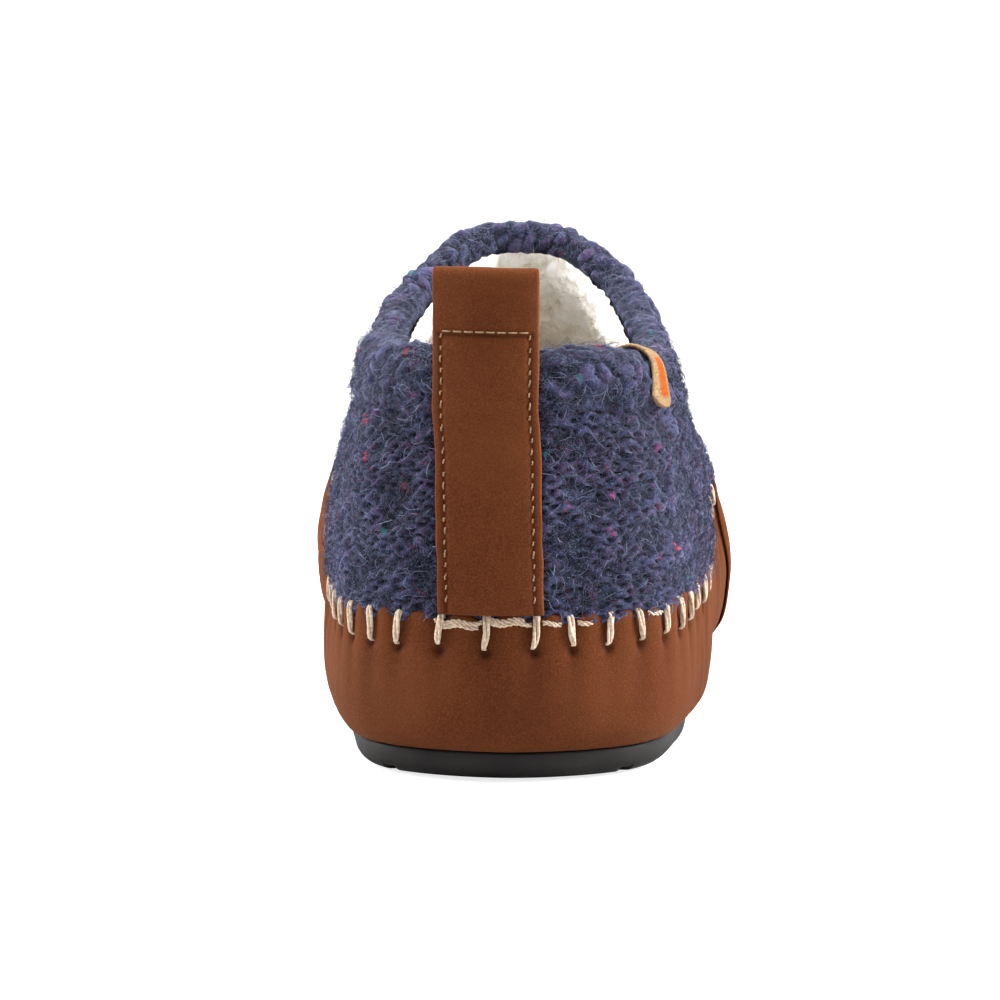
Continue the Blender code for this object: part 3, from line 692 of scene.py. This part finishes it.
def knit_path(u, wall_rows, band_rows, leg=7.0):
    """The knit's mean surface: up the wall from under the suede, out over the folded band, round the
    roll and down inside. Returns points, outward directions and the distance below the collar's top."""
    reach, far = down_the_rib(u, 300)
    start = np.array([np.interp(SEAM - 0.16, reach[::-1], f[::-1]) for f in far])
    share = np.linspace(0.0, 1.0, wall_rows, endpoint=False)
    wall_drop = start[:, None] + (BAND - start)[:, None] * share
    band_count = int(band_rows * 0.40)
    arc_count = int(band_rows * 0.36)
    leg_count = band_rows - band_count - arc_count
    band_drop = np.broadcast_to(np.linspace(BAND, ROLL, band_count), (len(u), band_count))
    drop = np.concatenate([wall_drop, band_drop], axis=1)
    v = below_collar(u, drop)
    outward, up, _ = directions(u, v)
    offset = 0.15 + 0.95 * smooth(drop, BAND - 0.2, BAND - 3.0) - 0.75 * np.exp(-((drop - BAND) / 1.1) ** 2)
    offset -= 1.6 * (1.0 - smooth(start[:, None] - drop, 1.5, 4.8))
    points = form(u, v) + outward * offset[..., None]
    middle, out_way, up_way = collar_roll(u)
    arcs, arc_ways, arc_drop = [], [], []
    for k in range(1, arc_count + 1):
        arc_ways.append(swung(out_way, up_way, 180.0 * k / arc_count))
        arcs.append(middle + arc_ways[-1] * ROLL)
        arc_drop.append(np.full(len(u), ROLL - math.pi * k / arc_count * ROLL))
    for k in range(1, leg_count + 1):
        lower = leg * k / leg_count
        arcs.append(middle - out_way * (ROLL - 0.12 * lower) - up_way * lower)
        arc_ways.append(-out_way)
        arc_drop.append(np.full(len(u), ROLL - math.pi * ROLL - lower))
    points = np.concatenate([points, np.stack(arcs, 1)], axis=1)
    outward = np.concatenate([outward, np.stack(arc_ways, 1)], axis=1)
    drop = np.concatenate([drop, np.stack(arc_drop, 1)], axis=1)
    return points, outward, drop


def row_lengths():
    """How far each purl row has run from the middle of the heel, at every place round the shoe."""
    u = np.linspace(0.0, AROUND[-1], 801)
    row_drops = BAND + (np.arange(ROW_COUNT) + 0.5) * ROW
    return u, run_along(form(u, np.maximum(below_collar(u, row_drops), SEAM - 0.2)))


ROW_U, ROW_RUN = row_lengths()
EDGE_RUN = run_along(level_line(ROW_U, COLLAR))


def bead(x, half):
    """The round top of a yarn whose middle is x away."""
    return np.sqrt(np.clip(1.0 - (x / half) ** 2, 0.0, 1.0))


def knit_relief(u, points, drop):
    """The height of the yarns, 0 in the holes between them to 1 on top."""
    warp_up = cloud(points, 8.0, 1) * 1.7 + cloud(points, 3.4, 6) * 0.55
    warp_on = cloud(points, 9.0, 2) * 2.4 + cloud(points, 3.8, 8) * 0.9
    lost = cloud(points, 6.0, 4)
    around = u % AROUND[-1]
    # Purl rows below the band.
    q = (drop - BAND + warp_up) / ROW
    row = np.clip(np.floor(q).astype(int), 0, ROW_RUN.shape[1] - 1)
    total = ROW_RUN[-1]
    runs = np.array([np.interp(around, ROW_U, ROW_RUN[:, r]) for r in range(ROW_RUN.shape[1])])
    run = runs[row, np.arange(len(u))[:, None]]
    wales = np.round(total / STITCH_WIDTH)[row]
    t = (run + warp_on) * wales / total[row] + 0.5 * (row % 2) + 0.13 * np.sin(row * 2.4)
    wave = np.cos(2 * math.pi * t)
    f = q % 1.0
    arcs = bead(f - 0.30 + 0.17 * wave, 0.30) * (0.80 + 0.22 * wave)
    cups = bead(f - 0.76 - 0.17 * wave, 0.27) * (0.80 - 0.24 * wave)
    purl = np.maximum(arcs, cups)
    # Soft ribs that cross the folded band and its roll.
    edge = np.interp(around, ROW_U, EDGE_RUN)[:, None]
    ribs = round(EDGE_RUN[-1] / RIB_WIDTH)
    sway = cloud(points, 5.5, 9) * 2.1
    zig = np.abs(2 * ((drop / 9.5 + 0.3) % 1.0) - 1)
    across = (edge + warp_on * 1.2 + sway) * ribs / EDGE_RUN[-1] + 0.55 * zig
    g = across % 1.0 - 0.5
    beat = np.cos(2 * math.pi * ((drop + warp_up * 2.0 + sway) / 4.4 + np.floor(across) * 0.37))
    band = bead(g, 0.54) ** 0.8 * (0.66 + 0.36 * beat)
    blend = smooth(drop + sway * 0.8, BAND - 2.2, BAND + 0.4)
    height = band * (1 - blend) + purl * blend
    felt = cloud(points, 2.2, 11)
    return np.clip(0.12 + height * (0.80 + 1.1 * lost) + 0.34 * felt, 0.0, 1.25)


wool, shader, place = finish_nodes("navy_tweed_wool", 0.98, 0.75, (0.60, 0.68, 0.98), 0.2)
spun = add_noise(place, 480.0, 6.0, 0.75, 0.8)
heather = add_noise(place, 190.0, 5.0, 0.7, 1.6)
patch = add_noise(place, 38.0, 2.0, 0.5)
navies = [(0.34, (0.006, 0.006, 0.013)), (0.47, (0.020, 0.020, 0.044))]
navies += [(0.58, (0.050, 0.053, 0.105)), (0.72, (0.15, 0.165, 0.27))]
tweeds = [(0.30, (0.012, 0.050, 0.070)), (0.41, (0.036, 0.046, 0.125)), (0.50, (0.014, 0.013, 0.028))]
tweeds += [(0.58, (0.100, 0.040, 0.120)), (0.68, (0.125, 0.145, 0.290))]
tone = add_mix(0.6, add_ramp(spun, navies), add_ramp(heather, tweeds))
tone = add_mix(add_ramp(patch, [(0.42, 0.0), (0.66, 0.45)]), tone, (0.095, 0.11, 0.24))
# Flecks of red, green and plum: how many cells a metre, the share that is dyed, and the dye.
FLECKS = [(240.0, 0.028, (0.75, 0.008, 0.03)), (280.0, 0.025, (0.01, 0.22, 0.20))]
FLECKS += [(330.0, 0.04, (0.25, 0.02, 0.13))]
FRAYED = 0.0035  # how far the flecks' edges are drawn out
tree = wool.node_tree
warped = tree.nodes.new("ShaderNodeMix")
warped.data_type = "VECTOR"
warped.inputs[0].default_value = FRAYED
tree.links.new(place, warped.inputs[4])
tree.links.new(add_noise(place, 700.0, 2.0, 0.5).node.outputs["Color"], warped.inputs[5])
for cells, share, colour in FLECKS:
    fleck = tree.nodes.new("ShaderNodeTexVoronoi")
    fleck.inputs["Scale"].default_value = cells
    tree.links.new(warped.outputs[1], fleck.inputs["Vector"])
    pick = tree.nodes.new("ShaderNodeSeparateColor")
    tree.links.new(fleck.outputs["Color"], pick.inputs["Color"])
    chosen = add_ramp(pick.outputs["Red"], [(1.0 - share, 0.0), (1.0 - share + 0.002, 1.0)])
    near = add_ramp(fleck.outputs["Distance"], [(0.24, 0.85), (0.38, 0.0)])
    tone = add_mix(add_mix(1.0, chosen, near, "MULTIPLY"), tone, colour)
# Painted shade: nearly black in the holes between the yarns, and a little darker over the folded band and
# roll.
yarn_hole_shade = [(0.12, (0.04, 0.036, 0.04)), (0.50, (0.31, 0.285, 0.29)), (1.0, (1.10, 1.00, 0.98))]
tone = add_mix(1.0, tone, add_ramp(read_given(shader, "yarn_shade"), yarn_hole_shade), "MULTIPLY")
# Loose fibres: thin pale lines that wander over the felt, given by their scale, how far they wander,
# their width, how strong they are, and their colour.
FIBRES = [(260.0, 2.5, 0.013, 0.55, (0.20, 0.25, 0.38)), (420.0, 3.5, 0.016, 0.5, (0.15, 0.14, 0.26))]
FIBRES += [(640.0, 4.5, 0.02, 0.5, (0.26, 0.30, 0.40))]
for scale, wander, width, amount, colour in FIBRES:
    strand = add_noise(place, scale, 2.0, 0.5, wander)
    line = add_ramp(strand, [(0.5 - width, 0.0), (0.5, amount), (0.5 + width, 0.0)])
    tone = add_mix(line, tone, colour)
paint(shader, tone)
shader.inputs["Specular IOR Level"].default_value = 0.08
add_bump(shader, [(spun, 0.7, 0.7), (strand, 0.4, 0.3)])


def tab_cover(points):
    """1 under the pull tab, where the knit lies flat, and 0 beside it."""
    lean = TAB_LEAN * np.clip((points[..., 2] - 34.0) / 53.0, 0.0, 1.0)
    aside = np.abs(points[..., 0] - TAB_CENTRE_X - lean) - TAB_WIDTH / 2
    return (1.0 - smooth(aside, -1.0, 1.0)) * (points[..., 1] < 30.0)


def knit_skin(name, u, wall_rows, band_rows):
    """One piece of the upper. Returns its points, their outward directions and how low they lie."""
    points, outward, drop = knit_path(u, wall_rows, band_rows)
    height = knit_relief(u, points, drop)
    under_tab = tab_cover(points)
    swell = cloud(points, 22.0, 7) * 0.55 * (1 - under_tab)
    relief = (height - 0.62) * 1.35 * (1 - 0.8 * under_tab) + swell - 0.75 * under_tab
    tucked = smooth(-drop, 6.5, 9.0)
    relief = relief * (1.0 - 0.8 * tucked) - 0.9 * tucked
    points = points + outward * relief[..., None]
    # Painted shade: the folded band and roll are painted a little darker.
    painted_yarn_shade = height * (1.0 - 0.16 * smooth(BAND - drop, 0.0, 3.0))
    piece = skin(name, points, wool, given=("yarn_shade", painted_yarn_shade))
    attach(piece, "root")
    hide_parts("knit_upper")
    return points, outward, drop


SIDE, SIDE_LAP = 118.0, 0.6  # where the heel's knit meets the front's, and how far they lap
u = np.linspace(-SIDE, SIDE, 400)
heel_points, heel_ways, heel_drop = knit_skin("knit_heel", u, 118, 116)
u = np.linspace(SIDE - SIDE_LAP, AROUND[-1] - SIDE + SIDE_LAP, 420)
front_points, front_ways, front_drop = knit_skin("knit_front", u, 124, 46)

# The fleece lining: cream curly pile inside the collar, down the walls and over the footbed. Its lumps
# stand up to 3 millimetres off the knit and 2 off the footbed.

LUMP, CURL = 5.2, 2.1  # the distance between big lumps and between small curls
WALL_PILE, FOOTBED_PILE = 3.2, 2.0
CURL_SEED = 7          # without one, noise_vector differs from run to run
noise.seed_set(CURL_SEED)


def curls(points, outward, tall):
    """Moves points into soft lumps of pile. Returns them and how high each lies in its lump, for the painted
    shade in the hollows.
    """
    flat = points.reshape(-1, 3)
    lump = np.empty(len(flat))
    push = np.empty((len(flat), 3))
    for i, p in enumerate(flat):
        p = Vector(p)
        near = noise.voronoi((p + noise.noise_vector(p / 4.0) * 2.0) / LUMP)[0][0]
        small = noise.voronoi((p + noise.noise_vector(p / 1.5)) / CURL)[0][0]
        lump[i] = 0.68 * max(0.0, 1.0 - 1.25 * near ** 2) + 0.32 * max(0.0, 1.0 - 1.3 * small ** 2)
        push[i] = noise.noise_vector(p / 1.7)
    lump = lump.reshape(points.shape[:-1])
    push = push.reshape(points.shape)
    return points + outward * (lump * tall)[..., None] + push * 0.45, np.clip(lump, 0, 1)


fleece, shader, place = finish_nodes("cream_fleece", 0.95, 0.5, (1.0, 0.98, 0.94), 0.5)
pile = add_noise(place, 900.0, 4.0, 0.7, 1.0)
# Painted shade: beige in the hollows between the lumps and deep inside the shoe, cream on the lumps; loose
# fleece hairs get a tone at random.
creams = [(0.0, (0.54, 0.42, 0.29)), (0.25, (0.84, 0.78, 0.68)), (0.65, (0.97, 0.955, 0.92))]
tone = add_ramp(read_given(shader, "fleece_shade_and_tone"), creams)
tone = add_mix(add_ramp(pile, [(0.42, 0.0), (0.7, 0.5)]), tone, (0.98, 0.97, 0.94))
paint(shader, tone)
add_bump(shader, [(pile, 0.6, 0.5)])

u = np.linspace(0.0, AROUND[-1], 360)
middle, out_way, up_way = collar_roll(u)
inside, ways = [], []
for angle in (158, 168, 178):
    ways.append(swung(out_way, up_way, angle))
    inside.append(middle + ways[-1] * (ROLL + 0.1))
for lower in np.linspace(0.6, 7.0, 12):
    inside.append(middle - out_way * (ROLL + 0.3) - up_way * lower)
    ways.append(-out_way)
upper_inside = np.stack(inside, 1)
drop = np.concatenate([np.linspace(ROLL + 8.0, 40.0, 34), np.linspace(42.0, 200.0, 42)])
v = below_collar(u, drop)
v = np.maximum(v, 0.55)
lower_inside = stand(u, v, np.full(v.shape, -4.2 - 2.0 * smooth(SEAM + 0.3 - v, 0.0, 0.5)))
lower_ways = -directions(u, v)[0]
points = np.concatenate([upper_inside, lower_inside], axis=1)
ways = np.concatenate([np.stack(ways, 1), lower_ways], axis=1)
points[-1], ways[-1] = points[0], ways[0]
points, painted_shading = curls(points, ways, WALL_PILE * smooth(np.arange(points.shape[1]), -2.5, 6.0))
# Painted shade: the lining is painted darker beige further down inside the shoe.
painted_shading *= 1.0 - 0.9 * smooth(np.arange(points.shape[1]), 20.0, 50.0)
lining_points, lining_ways, lining_rows = points, ways, np.arange(points.shape[1])
fleece_lining = skin("fleece_lining", points[::-1], fleece, given=("fleece_shade_and_tone", painted_shading[::-1]))
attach(fleece_lining, "root")

FOOTBED_TOP, FOOTBED_INSET = 17.0, 6.4
u = np.linspace(0.0, AROUND[-1], 220)
ring = level_line(u, BULGE) - unit(level_ways(u, BULGE)[0] * [1, 1, 0]) * FOOTBED_INSET
rings = []
for share in np.linspace(1.0, 0.0, 46):
    spine_x = -2.0 * (ring[:, 1] > 120)
    spine = np.stack([spine_x, np.clip(ring[:, 1], 26.0, 226.0), ring[:, 2]], 1)
    level = ring * share + spine * (1 - share)
    level[:, 2] = FOOTBED_TOP + 0.2 + toe_spring(level[:, 1])
    rings.append(level)
points = np.stack(rings, 1)
ways = np.zeros_like(points)
ways[..., 2] = 1.0
points, painted_shading = curls(points, ways, FOOTBED_PILE)
points[-1] = points[0]
fleece_footbed = skin("fleece_footbed", points, fleece, given=("fleece_shade_and_tone", painted_shading))
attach(fleece_footbed, "root")
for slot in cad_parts["footbed"].material_slots:
    slot.material = fleece

# The pull tab: a suede strap, sewn flat up the heel with beige thread near both edges, folded into a
# loop above the collar and sewn across there, with its end inside.

CLEAR, KNIT_PROUD, COLLAR_PROUD = 0.3, 0.5, 0.9
TAB_THICKNESS, TAB_LOOP_HEIGHT, TAB_LOOP_GAP, TAB_INSIDE_DROP = 1.5, 15.5, 2.2, 12.0
TAB_ROWS = 160         # of points along the strap
SEWN_INSIDE = 1.9      # from the strap's edge to the stitch line
CROSS_SEAM_Z = 89.0    # the stitch line across, just above the collar


def u_where_x(x, level, offset):
    """The u near the heel's middle at which a level, stood off by an offset, lies at x."""
    u = np.linspace(-24.0, 24.0, 97)
    line = stand(u, np.full((97, 1), level), np.full((97, 1), offset))[:, 0, 0]
    return np.interp(x, line, u)


def tab_spine(x):
    """The middle of the strap's thickness at one place across it, from its foot over the loop to its end."""
    clear = CLEAR + TAB_THICKNESS / 2
    run = []
    for level in (SEAM + 0.12, 2.0, 2.35, 2.7, 3.05, 3.4):
        u = u_where_x(x + TAB_LEAN * (level - SEAM) / (COLLAR - SEAM), level, KNIT_PROUD + clear)
        run.append(stand([u], [[level]], [[KNIT_PROUD + clear]])[0, 0])
    x += TAB_LEAN
    for level in (3.7, 3.95, 4.25):
        u = u_where_x(x, level, COLLAR_PROUD + clear)
        run.append(stand([u], [[level]], [[COLLAR_PROUD + clear]])[0, 0])
    u = u_where_x(x, 4.4, COLLAR_PROUD + clear)
    roll, normal, up = (way[0] for way in collar_roll([u]))
    run.append(roll + normal * (ROLL + clear))
    rim = roll[2] + ROLL
    loop_top = rim + TAB_LOOP_HEIGHT
    half = TAB_LOOP_GAP / 2
    back = run[-1][1] + 0.5
    run += [np.array([x, back, rim + 3.0]), np.array([x, back, loop_top - 6.0])]
    for angle in (180, 135, 90, 45, 0):
        bent = swung(np.array([0.0, half, 0.0]), np.array([0.0, 0.0, half]), angle)
        run.append(np.array([x, back + half, loop_top - half]) + bent)
    front = back + TAB_LOOP_GAP
    run += [np.array([x, front, loop_top - 6.0]), np.array([x, front + 0.6, rim + 3.4])]
    for angle in (105, 125, 145, 165, 180):
        run.append(roll + swung(normal, up, angle) * (ROLL + clear))
    for drop in (ROLL + 3.5, TAB_INSIDE_DROP):
        run.append(stand([u], below_collar([u], [drop]), [[COLLAR_PROUD - 2 * ROLL - clear]])[0, 0])
    return np.array(run)


def softened(lines, rows):
    """Lines of points, all set to the same number of rows at even distances, with their corners eased."""
    step = np.linalg.norm(np.diff(lines, axis=1), axis=2).mean(0)
    far = np.concatenate([[0.0], np.cumsum(step)])
    even = np.linspace(0.0, far[-1], rows)
    eased = np.array([np.stack([np.interp(even, far, line[:, k]) for k in range(3)], 1) for line in lines])
    for _ in range(6):
        eased[:, 1:-1] = (eased[:, :-2] + 2 * eased[:, 1:-1] + eased[:, 2:]) / 4
    return eased, even


def strap(name, lines, thickness, relief, finish, given):
    """A strap with rounded edges: lines run beside each other, relief lifts its outer face, and given
    names a number and holds its values on that face and on the other."""
    along = np.gradient(lines, axis=1)
    across = np.gradient(lines, axis=0)
    normals = unit(np.cross(across, along))
    half = thickness / 2
    rounding = np.ones(len(lines))
    rounding[[0, -1]] = 0.35
    rounding[[1, -2]] = 0.85
    face = lines + normals * (half * rounding[:, None] + relief)[..., None]
    back = lines - normals * (half * rounding[:, None])[..., None]
    ring = np.concatenate([face, back[::-1], face[:1]])
    mid = np.concatenate([lines, lines[::-1], lines[:1]])
    ring = np.concatenate([mid[:, :1], ring, mid[:, -1:]], axis=1)
    label, outer, inner = given
    values = np.concatenate([outer, inner[::-1], outer[:1]])
    values = np.concatenate([values[:, :1], values, values[:, -1:]], axis=1)
    piece = skin(name, ring[::-1], finish, ring=True, given=(label, values[::-1]))
    return piece, face, normals


columns = np.linspace(-TAB_WIDTH / 2, TAB_WIDTH / 2, 9)
coarse = np.array([tab_spine(TAB_CENTRE_X + x) for x in columns])
coarse, run = softened(coarse, TAB_ROWS)
half_wide = TAB_WIDTH / 2
# Lines across the strap, close together at its edges and at its sewing.
places = np.array([1.3, 2.6, 3.9, 5.2, 6.4, 7.4, 8.0, 8.3, 8.6, 8.9, 9.2, 9.6, 10.0, 10.35, 10.5])
places = np.concatenate([-places[::-1], [0.0], places])
flat = coarse.reshape(len(columns), -1)
lines = np.stack([np.interp(places, columns, flat[:, k]) for k in range(flat.shape[1])], 1)
lines = lines.reshape(len(places), TAB_ROWS, 3)
sewn = np.abs(np.abs(places) - (half_wide - SEWN_INSIDE))[:, None]
height = lines[..., 2]
front = (np.arange(TAB_ROWS) < np.argmax(height[0]))[None, :]
below = smooth(CROSS_SEAM_Z + 0.4 - height, 0.0, 0.8)
groove = np.exp(-(sewn / 0.42) ** 2) * below * front
between_edges = np.abs(places)[:, None] < half_wide - 1.2
cross_groove = np.exp(-((height - CROSS_SEAM_Z) / 0.45) ** 2) * front * between_edges
puff = smooth(half_wide - np.abs(places), 0.0, 1.6)[:, None] - 0.6
relief = 0.12 * puff - 0.38 * np.maximum(groove, cross_groove)
relief += 0.16 * cloud(lines, 9.0, 3) + 0.09 * cloud(lines, 2.2, 5)
sway = 0.22 * cloud(lines * [0.0, 0.0, 1.0], 5.0, 8) * (np.abs(places)[:, None] > 9.0)
lines[..., 0] += sway
raw_edge = smooth(np.abs(places), 10.05, 10.4)[:, None]
# Painted shade: the tab is darker in its sewing grooves, with paler raw edges and some tone at random.
shade = np.clip(0.60 + relief * 1.1 + 0.5 * raw_edge, 0.0, 1.0)
given = ("suede_shade_and_raw_edge", shade, shade * 0.0 + 0.5)
pull_tab, face, normals = strap("suede_pull_tab", lines, TAB_THICKNESS, relief, suede, given)
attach(pull_tab, "root")
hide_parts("pull_tab")

sewing, shader, place = finish_nodes("beige_thread", 0.7)
fluff = add_noise(place, 2500.0, 3.0, 0.7)
tone = add_ramp(fluff, [(0.3, (0.16, 0.08, 0.035)), (0.7, (0.42, 0.27, 0.15))])
paint(shader, tone)
add_bump(shader, [(fluff, 0.4, 0.1)])


def tab_point(x, row):
    """A place on the tab's face, x millimetres from its middle line, and its outward direction."""
    i = np.interp(x, places, np.arange(len(places)))
    low, share = int(i), i - int(i)
    low, next_one = min(low, len(places) - 1), min(low + 1, len(places) - 1)
    r = int(round(row))
    return face[low, r] * (1 - share) + face[next_one, r] * share, normals[low, r]


SEWING_STEP = 2.25     # from one stitch to the next
THREAD = 0.18          # the thread's radius
ALONG_STITCH = (-1.0, -0.75, 0.0, 0.75, 1.0)
STITCH_LIFT = (-0.15, 0.22, 0.36, 0.22, -0.15)
row_step = run[1]
first_row = 0.8 / row_step
cross_row = float(np.argmax(height[0] > CROSS_SEAM_Z))
stitches = []
count = int((cross_row - first_row) * row_step / SEWING_STEP)
for side in (-1, 1):
    for k in range(count):
        middle_row = cross_row - (k + 0.5) * SEWING_STEP / row_step
        x = side * (half_wide - SEWN_INSIDE) + 0.08 * math.sin(k * 2.3)
        stitches.append([tab_point(x + 0.10 * t, middle_row + t * 0.46 / row_step) for t in ALONG_STITCH])
for k in range(8):
    x = -7.5 + k * 15.0 / 7
    stitches.append([tab_point(x + t * 0.75, cross_row) for t in ALONG_STITCH])
paths = [[p + n * rise for (p, n), rise in zip(stitch, STITCH_LIFT)] for stitch in stitches]
paths = np.array(paths)
tab_sewing = tubes("tab_sewing", paths, np.full(paths.shape[:2], THREAD), sewing, 6)
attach(tab_sewing, "root")

# The side label: a short piece of tan webbing folded over the collar on the outer side, with a plain
# orange patch woven in its middle and nothing on it.

LABEL_Y, LABEL_WIDTH, LABEL_THICKNESS, LABEL_LEAN = 27.0, 11.0, 0.9, 6.0
LABEL_OUTSIDE, LABEL_INSIDE = 9.5, 7.0
outer_u = np.linspace(0.0, AROUND[4], 400)
LABEL_U = float(np.interp(LABEL_Y, level_line(outer_u, BULGE)[:, 1], outer_u))
spines = []
for share in np.linspace(-1.0, 1.0, 25):
    u = [LABEL_U + share * LABEL_WIDTH / 2]
    round_end = 1.0 - math.sqrt(max(0.0, 1.0 - (share * 0.93) ** 2))
    outside = LABEL_OUTSIDE - round_end * LABEL_WIDTH * 0.32
    inside = LABEL_INSIDE - round_end * LABEL_WIDTH * 0.12
    clear = CLEAR + LABEL_THICKNESS / 2
    centre, normal, up = (way[0] for way in collar_roll(u))
    line = []
    for k in range(5):
        hung = [u[0] - LABEL_LEAN * (1 - k / 4)]
        level = below_collar(hung, [ROLL + outside * (1 - k / 4)])
        line.append(stand(hung, level, [[COLLAR_PROUD + clear]])[0, 0])
    for k in range(1, 8):
        line.append(centre + swung(normal, up, 180.0 * k / 8) * (ROLL + clear))
    for k in range(3):
        level = below_collar(u, [ROLL + inside * k / 2])
        line.append(stand(u, level, [[COLLAR_PROUD - 2 * ROLL - clear]])[0, 0])
    spines.append(line)
lines, run = softened(np.array(spines), 72)
ribs = 0.10 * np.cos(2 * math.pi * run / 0.8)[None, :] + 0.05 * np.cos(np.arange(25) * math.pi)[:, None]
webbing, shader, place = finish_nodes("tan_webbing", 0.9)
shader.inputs["Specular IOR Level"].default_value = 0.1
weave = add_noise(place, 2200.0, 3.0, 0.6)
tans = [(0.3, (0.13, 0.075, 0.035)), (0.55, (0.30, 0.19, 0.10)), (0.75, (0.44, 0.31, 0.18))]
tone = add_ramp(weave, tans)
orange = add_ramp(weave, [(0.3, (0.20, 0.038, 0.004)), (0.7, (0.42, 0.095, 0.010))])
tone = add_mix(read_given(shader, "orange_patch"), tone, orange)
paint(shader, tone)
add_bump(shader, [(weave, 0.5, 0.15)])
spot = smooth(0.56 - np.abs(np.linspace(-1.0, 1.0, 25)), 0.0, 0.08)[:, None]
spot = spot * smooth(run, 2.0, 2.4) * (1 - smooth(run, 11.0, 11.4))
given = ("orange_patch", spot, spot * 0.0)
label, _, _ = strap("webbing_label", lines, LABEL_THICKNESS, ribs, webbing, given)
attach(label, "root")
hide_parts("side_label")

# The wool's loose fibres: thousands of fine curved hairs that lie over the felt and stand out at the
# slipper's outline as a pale halo, mostly grey-blue, with some navy, teal, red and cream ones.

hair, shader, place = finish_nodes("loose_wool_fibre", 0.7, 0.3, (0.8, 0.85, 1.0), 0.3)
# The share of hairs up to which each colour goes: navies, blues, plum, greys, teal and red.
LOTS = [
    (0.0, (0.010, 0.010, 0.024)), (0.24, (0.026, 0.030, 0.080)), (0.46, (0.062, 0.074, 0.160)),
    (0.66, (0.070, 0.034, 0.080)), (0.76, (0.170, 0.200, 0.320)), (0.90, (0.020, 0.090, 0.110)),
    (0.945, (0.26, 0.29, 0.42)), (0.985, (0.24, 0.014, 0.03)),
]
pick = add_ramp(read_given(shader, "hair_lot"), LOTS)
pick.node.color_ramp.interpolation = "CONSTANT"
paint(shader, pick)


HAIR, TAPER = 0.036, (0.8, 1.0, 1.0, 0.9, 0.7, 0.3)  # half a hair's width, and its share along it


def loose_hairs(name, points, ways, weight, count, long, rise, seed, finish):
    """Curved ribbons that start at random places of a grid of points, and stand off it by rise."""
    dice = np.random.default_rng(seed)
    count = int(count * (1.0))
    corner = points[:-1, :-1]
    area = np.linalg.norm(np.cross(points[1:, :-1] - corner, points[:-1, 1:] - corner), axis=2)
    chance = (weight[:-1, :-1] * area).ravel()
    spots = dice.choice(len(chance), count, p=chance / chance.sum())
    i, j = np.unravel_index(spots, (points.shape[0] - 1, points.shape[1] - 1))
    a, b = dice.random((2, count, 1))
    start = points[i, j] + (points[i + 1, j] - points[i, j]) * a + (points[i, j + 1] - points[i, j]) * b
    normal = ways[i, j]
    first = unit(np.cross(normal, dice.normal(size=(count, 3))))
    second = np.cross(normal, first)
    length = long * (0.35 + 0.9 * dice.random((count, 1)) ** 1.6)
    bend = dice.normal(0.0, 1.0, (count, 1))
    lift = rise * dice.random((count, 1)) ** 1.8
    path = []
    for t in np.linspace(0.0, 1.0, len(TAPER)):
        ahead_by = length * np.sin(bend * t + 1e-6) / (bend + 1e-6)
        aside_by = length * (1 - np.cos(bend * t)) / (bend + 1e-6)
        high = -0.25 + (0.45 + lift) * math.sin(math.pi * t) ** 0.7 + lift * 0.7 * t
        path.append(start + first * ahead_by + second * aside_by + normal * high)
    paths = np.stack(path, 1)
    radii = HAIR * np.array(TAPER) * (0.7 + 0.6 * dice.random((count, 1)))
    piece = tubes(name, paths, radii, finish, 2)
    lots = np.repeat(dice.random(count), 2 * len(TAPER))
    for label_name in ("hair_lot", "fleece_shade_and_tone"):
        layer = piece.data.attributes.new(label_name, "FLOAT", "POINT")
        layer.data.foreach_set("value", lots)
    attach(piece, "root")


heel_u = np.linspace(-SIDE, SIDE, len(heel_points))[:, None]
on_label = (np.abs(heel_u - LABEL_U + LABEL_LEAN / 2) < 9.5) * (heel_drop < 19.0)
seen = (heel_drop > -5.0) * (1.0 - tab_cover(heel_points)) * (1.0 - on_label)
seen[:, :14] *= 0.0
loose_hairs("heel_hairs", heel_points, heel_ways, seen, 18500, 4.2, 0.9, 5, hair)
seen = (front_drop > -5.0) * 1.0
seen[:, :12] *= 0.0
loose_hairs("front_hairs", front_points, front_ways, seen, 11000, 3.6, 0.9, 6, hair)
seen = (lining_rows < 34) * (lining_rows > 0) * (lining_points[..., 1] > 22.0) * 1.0
loose_hairs("fleece_hairs", lining_points, lining_ways, seen, 7000, 3.2, 1.2, 7, fleece)
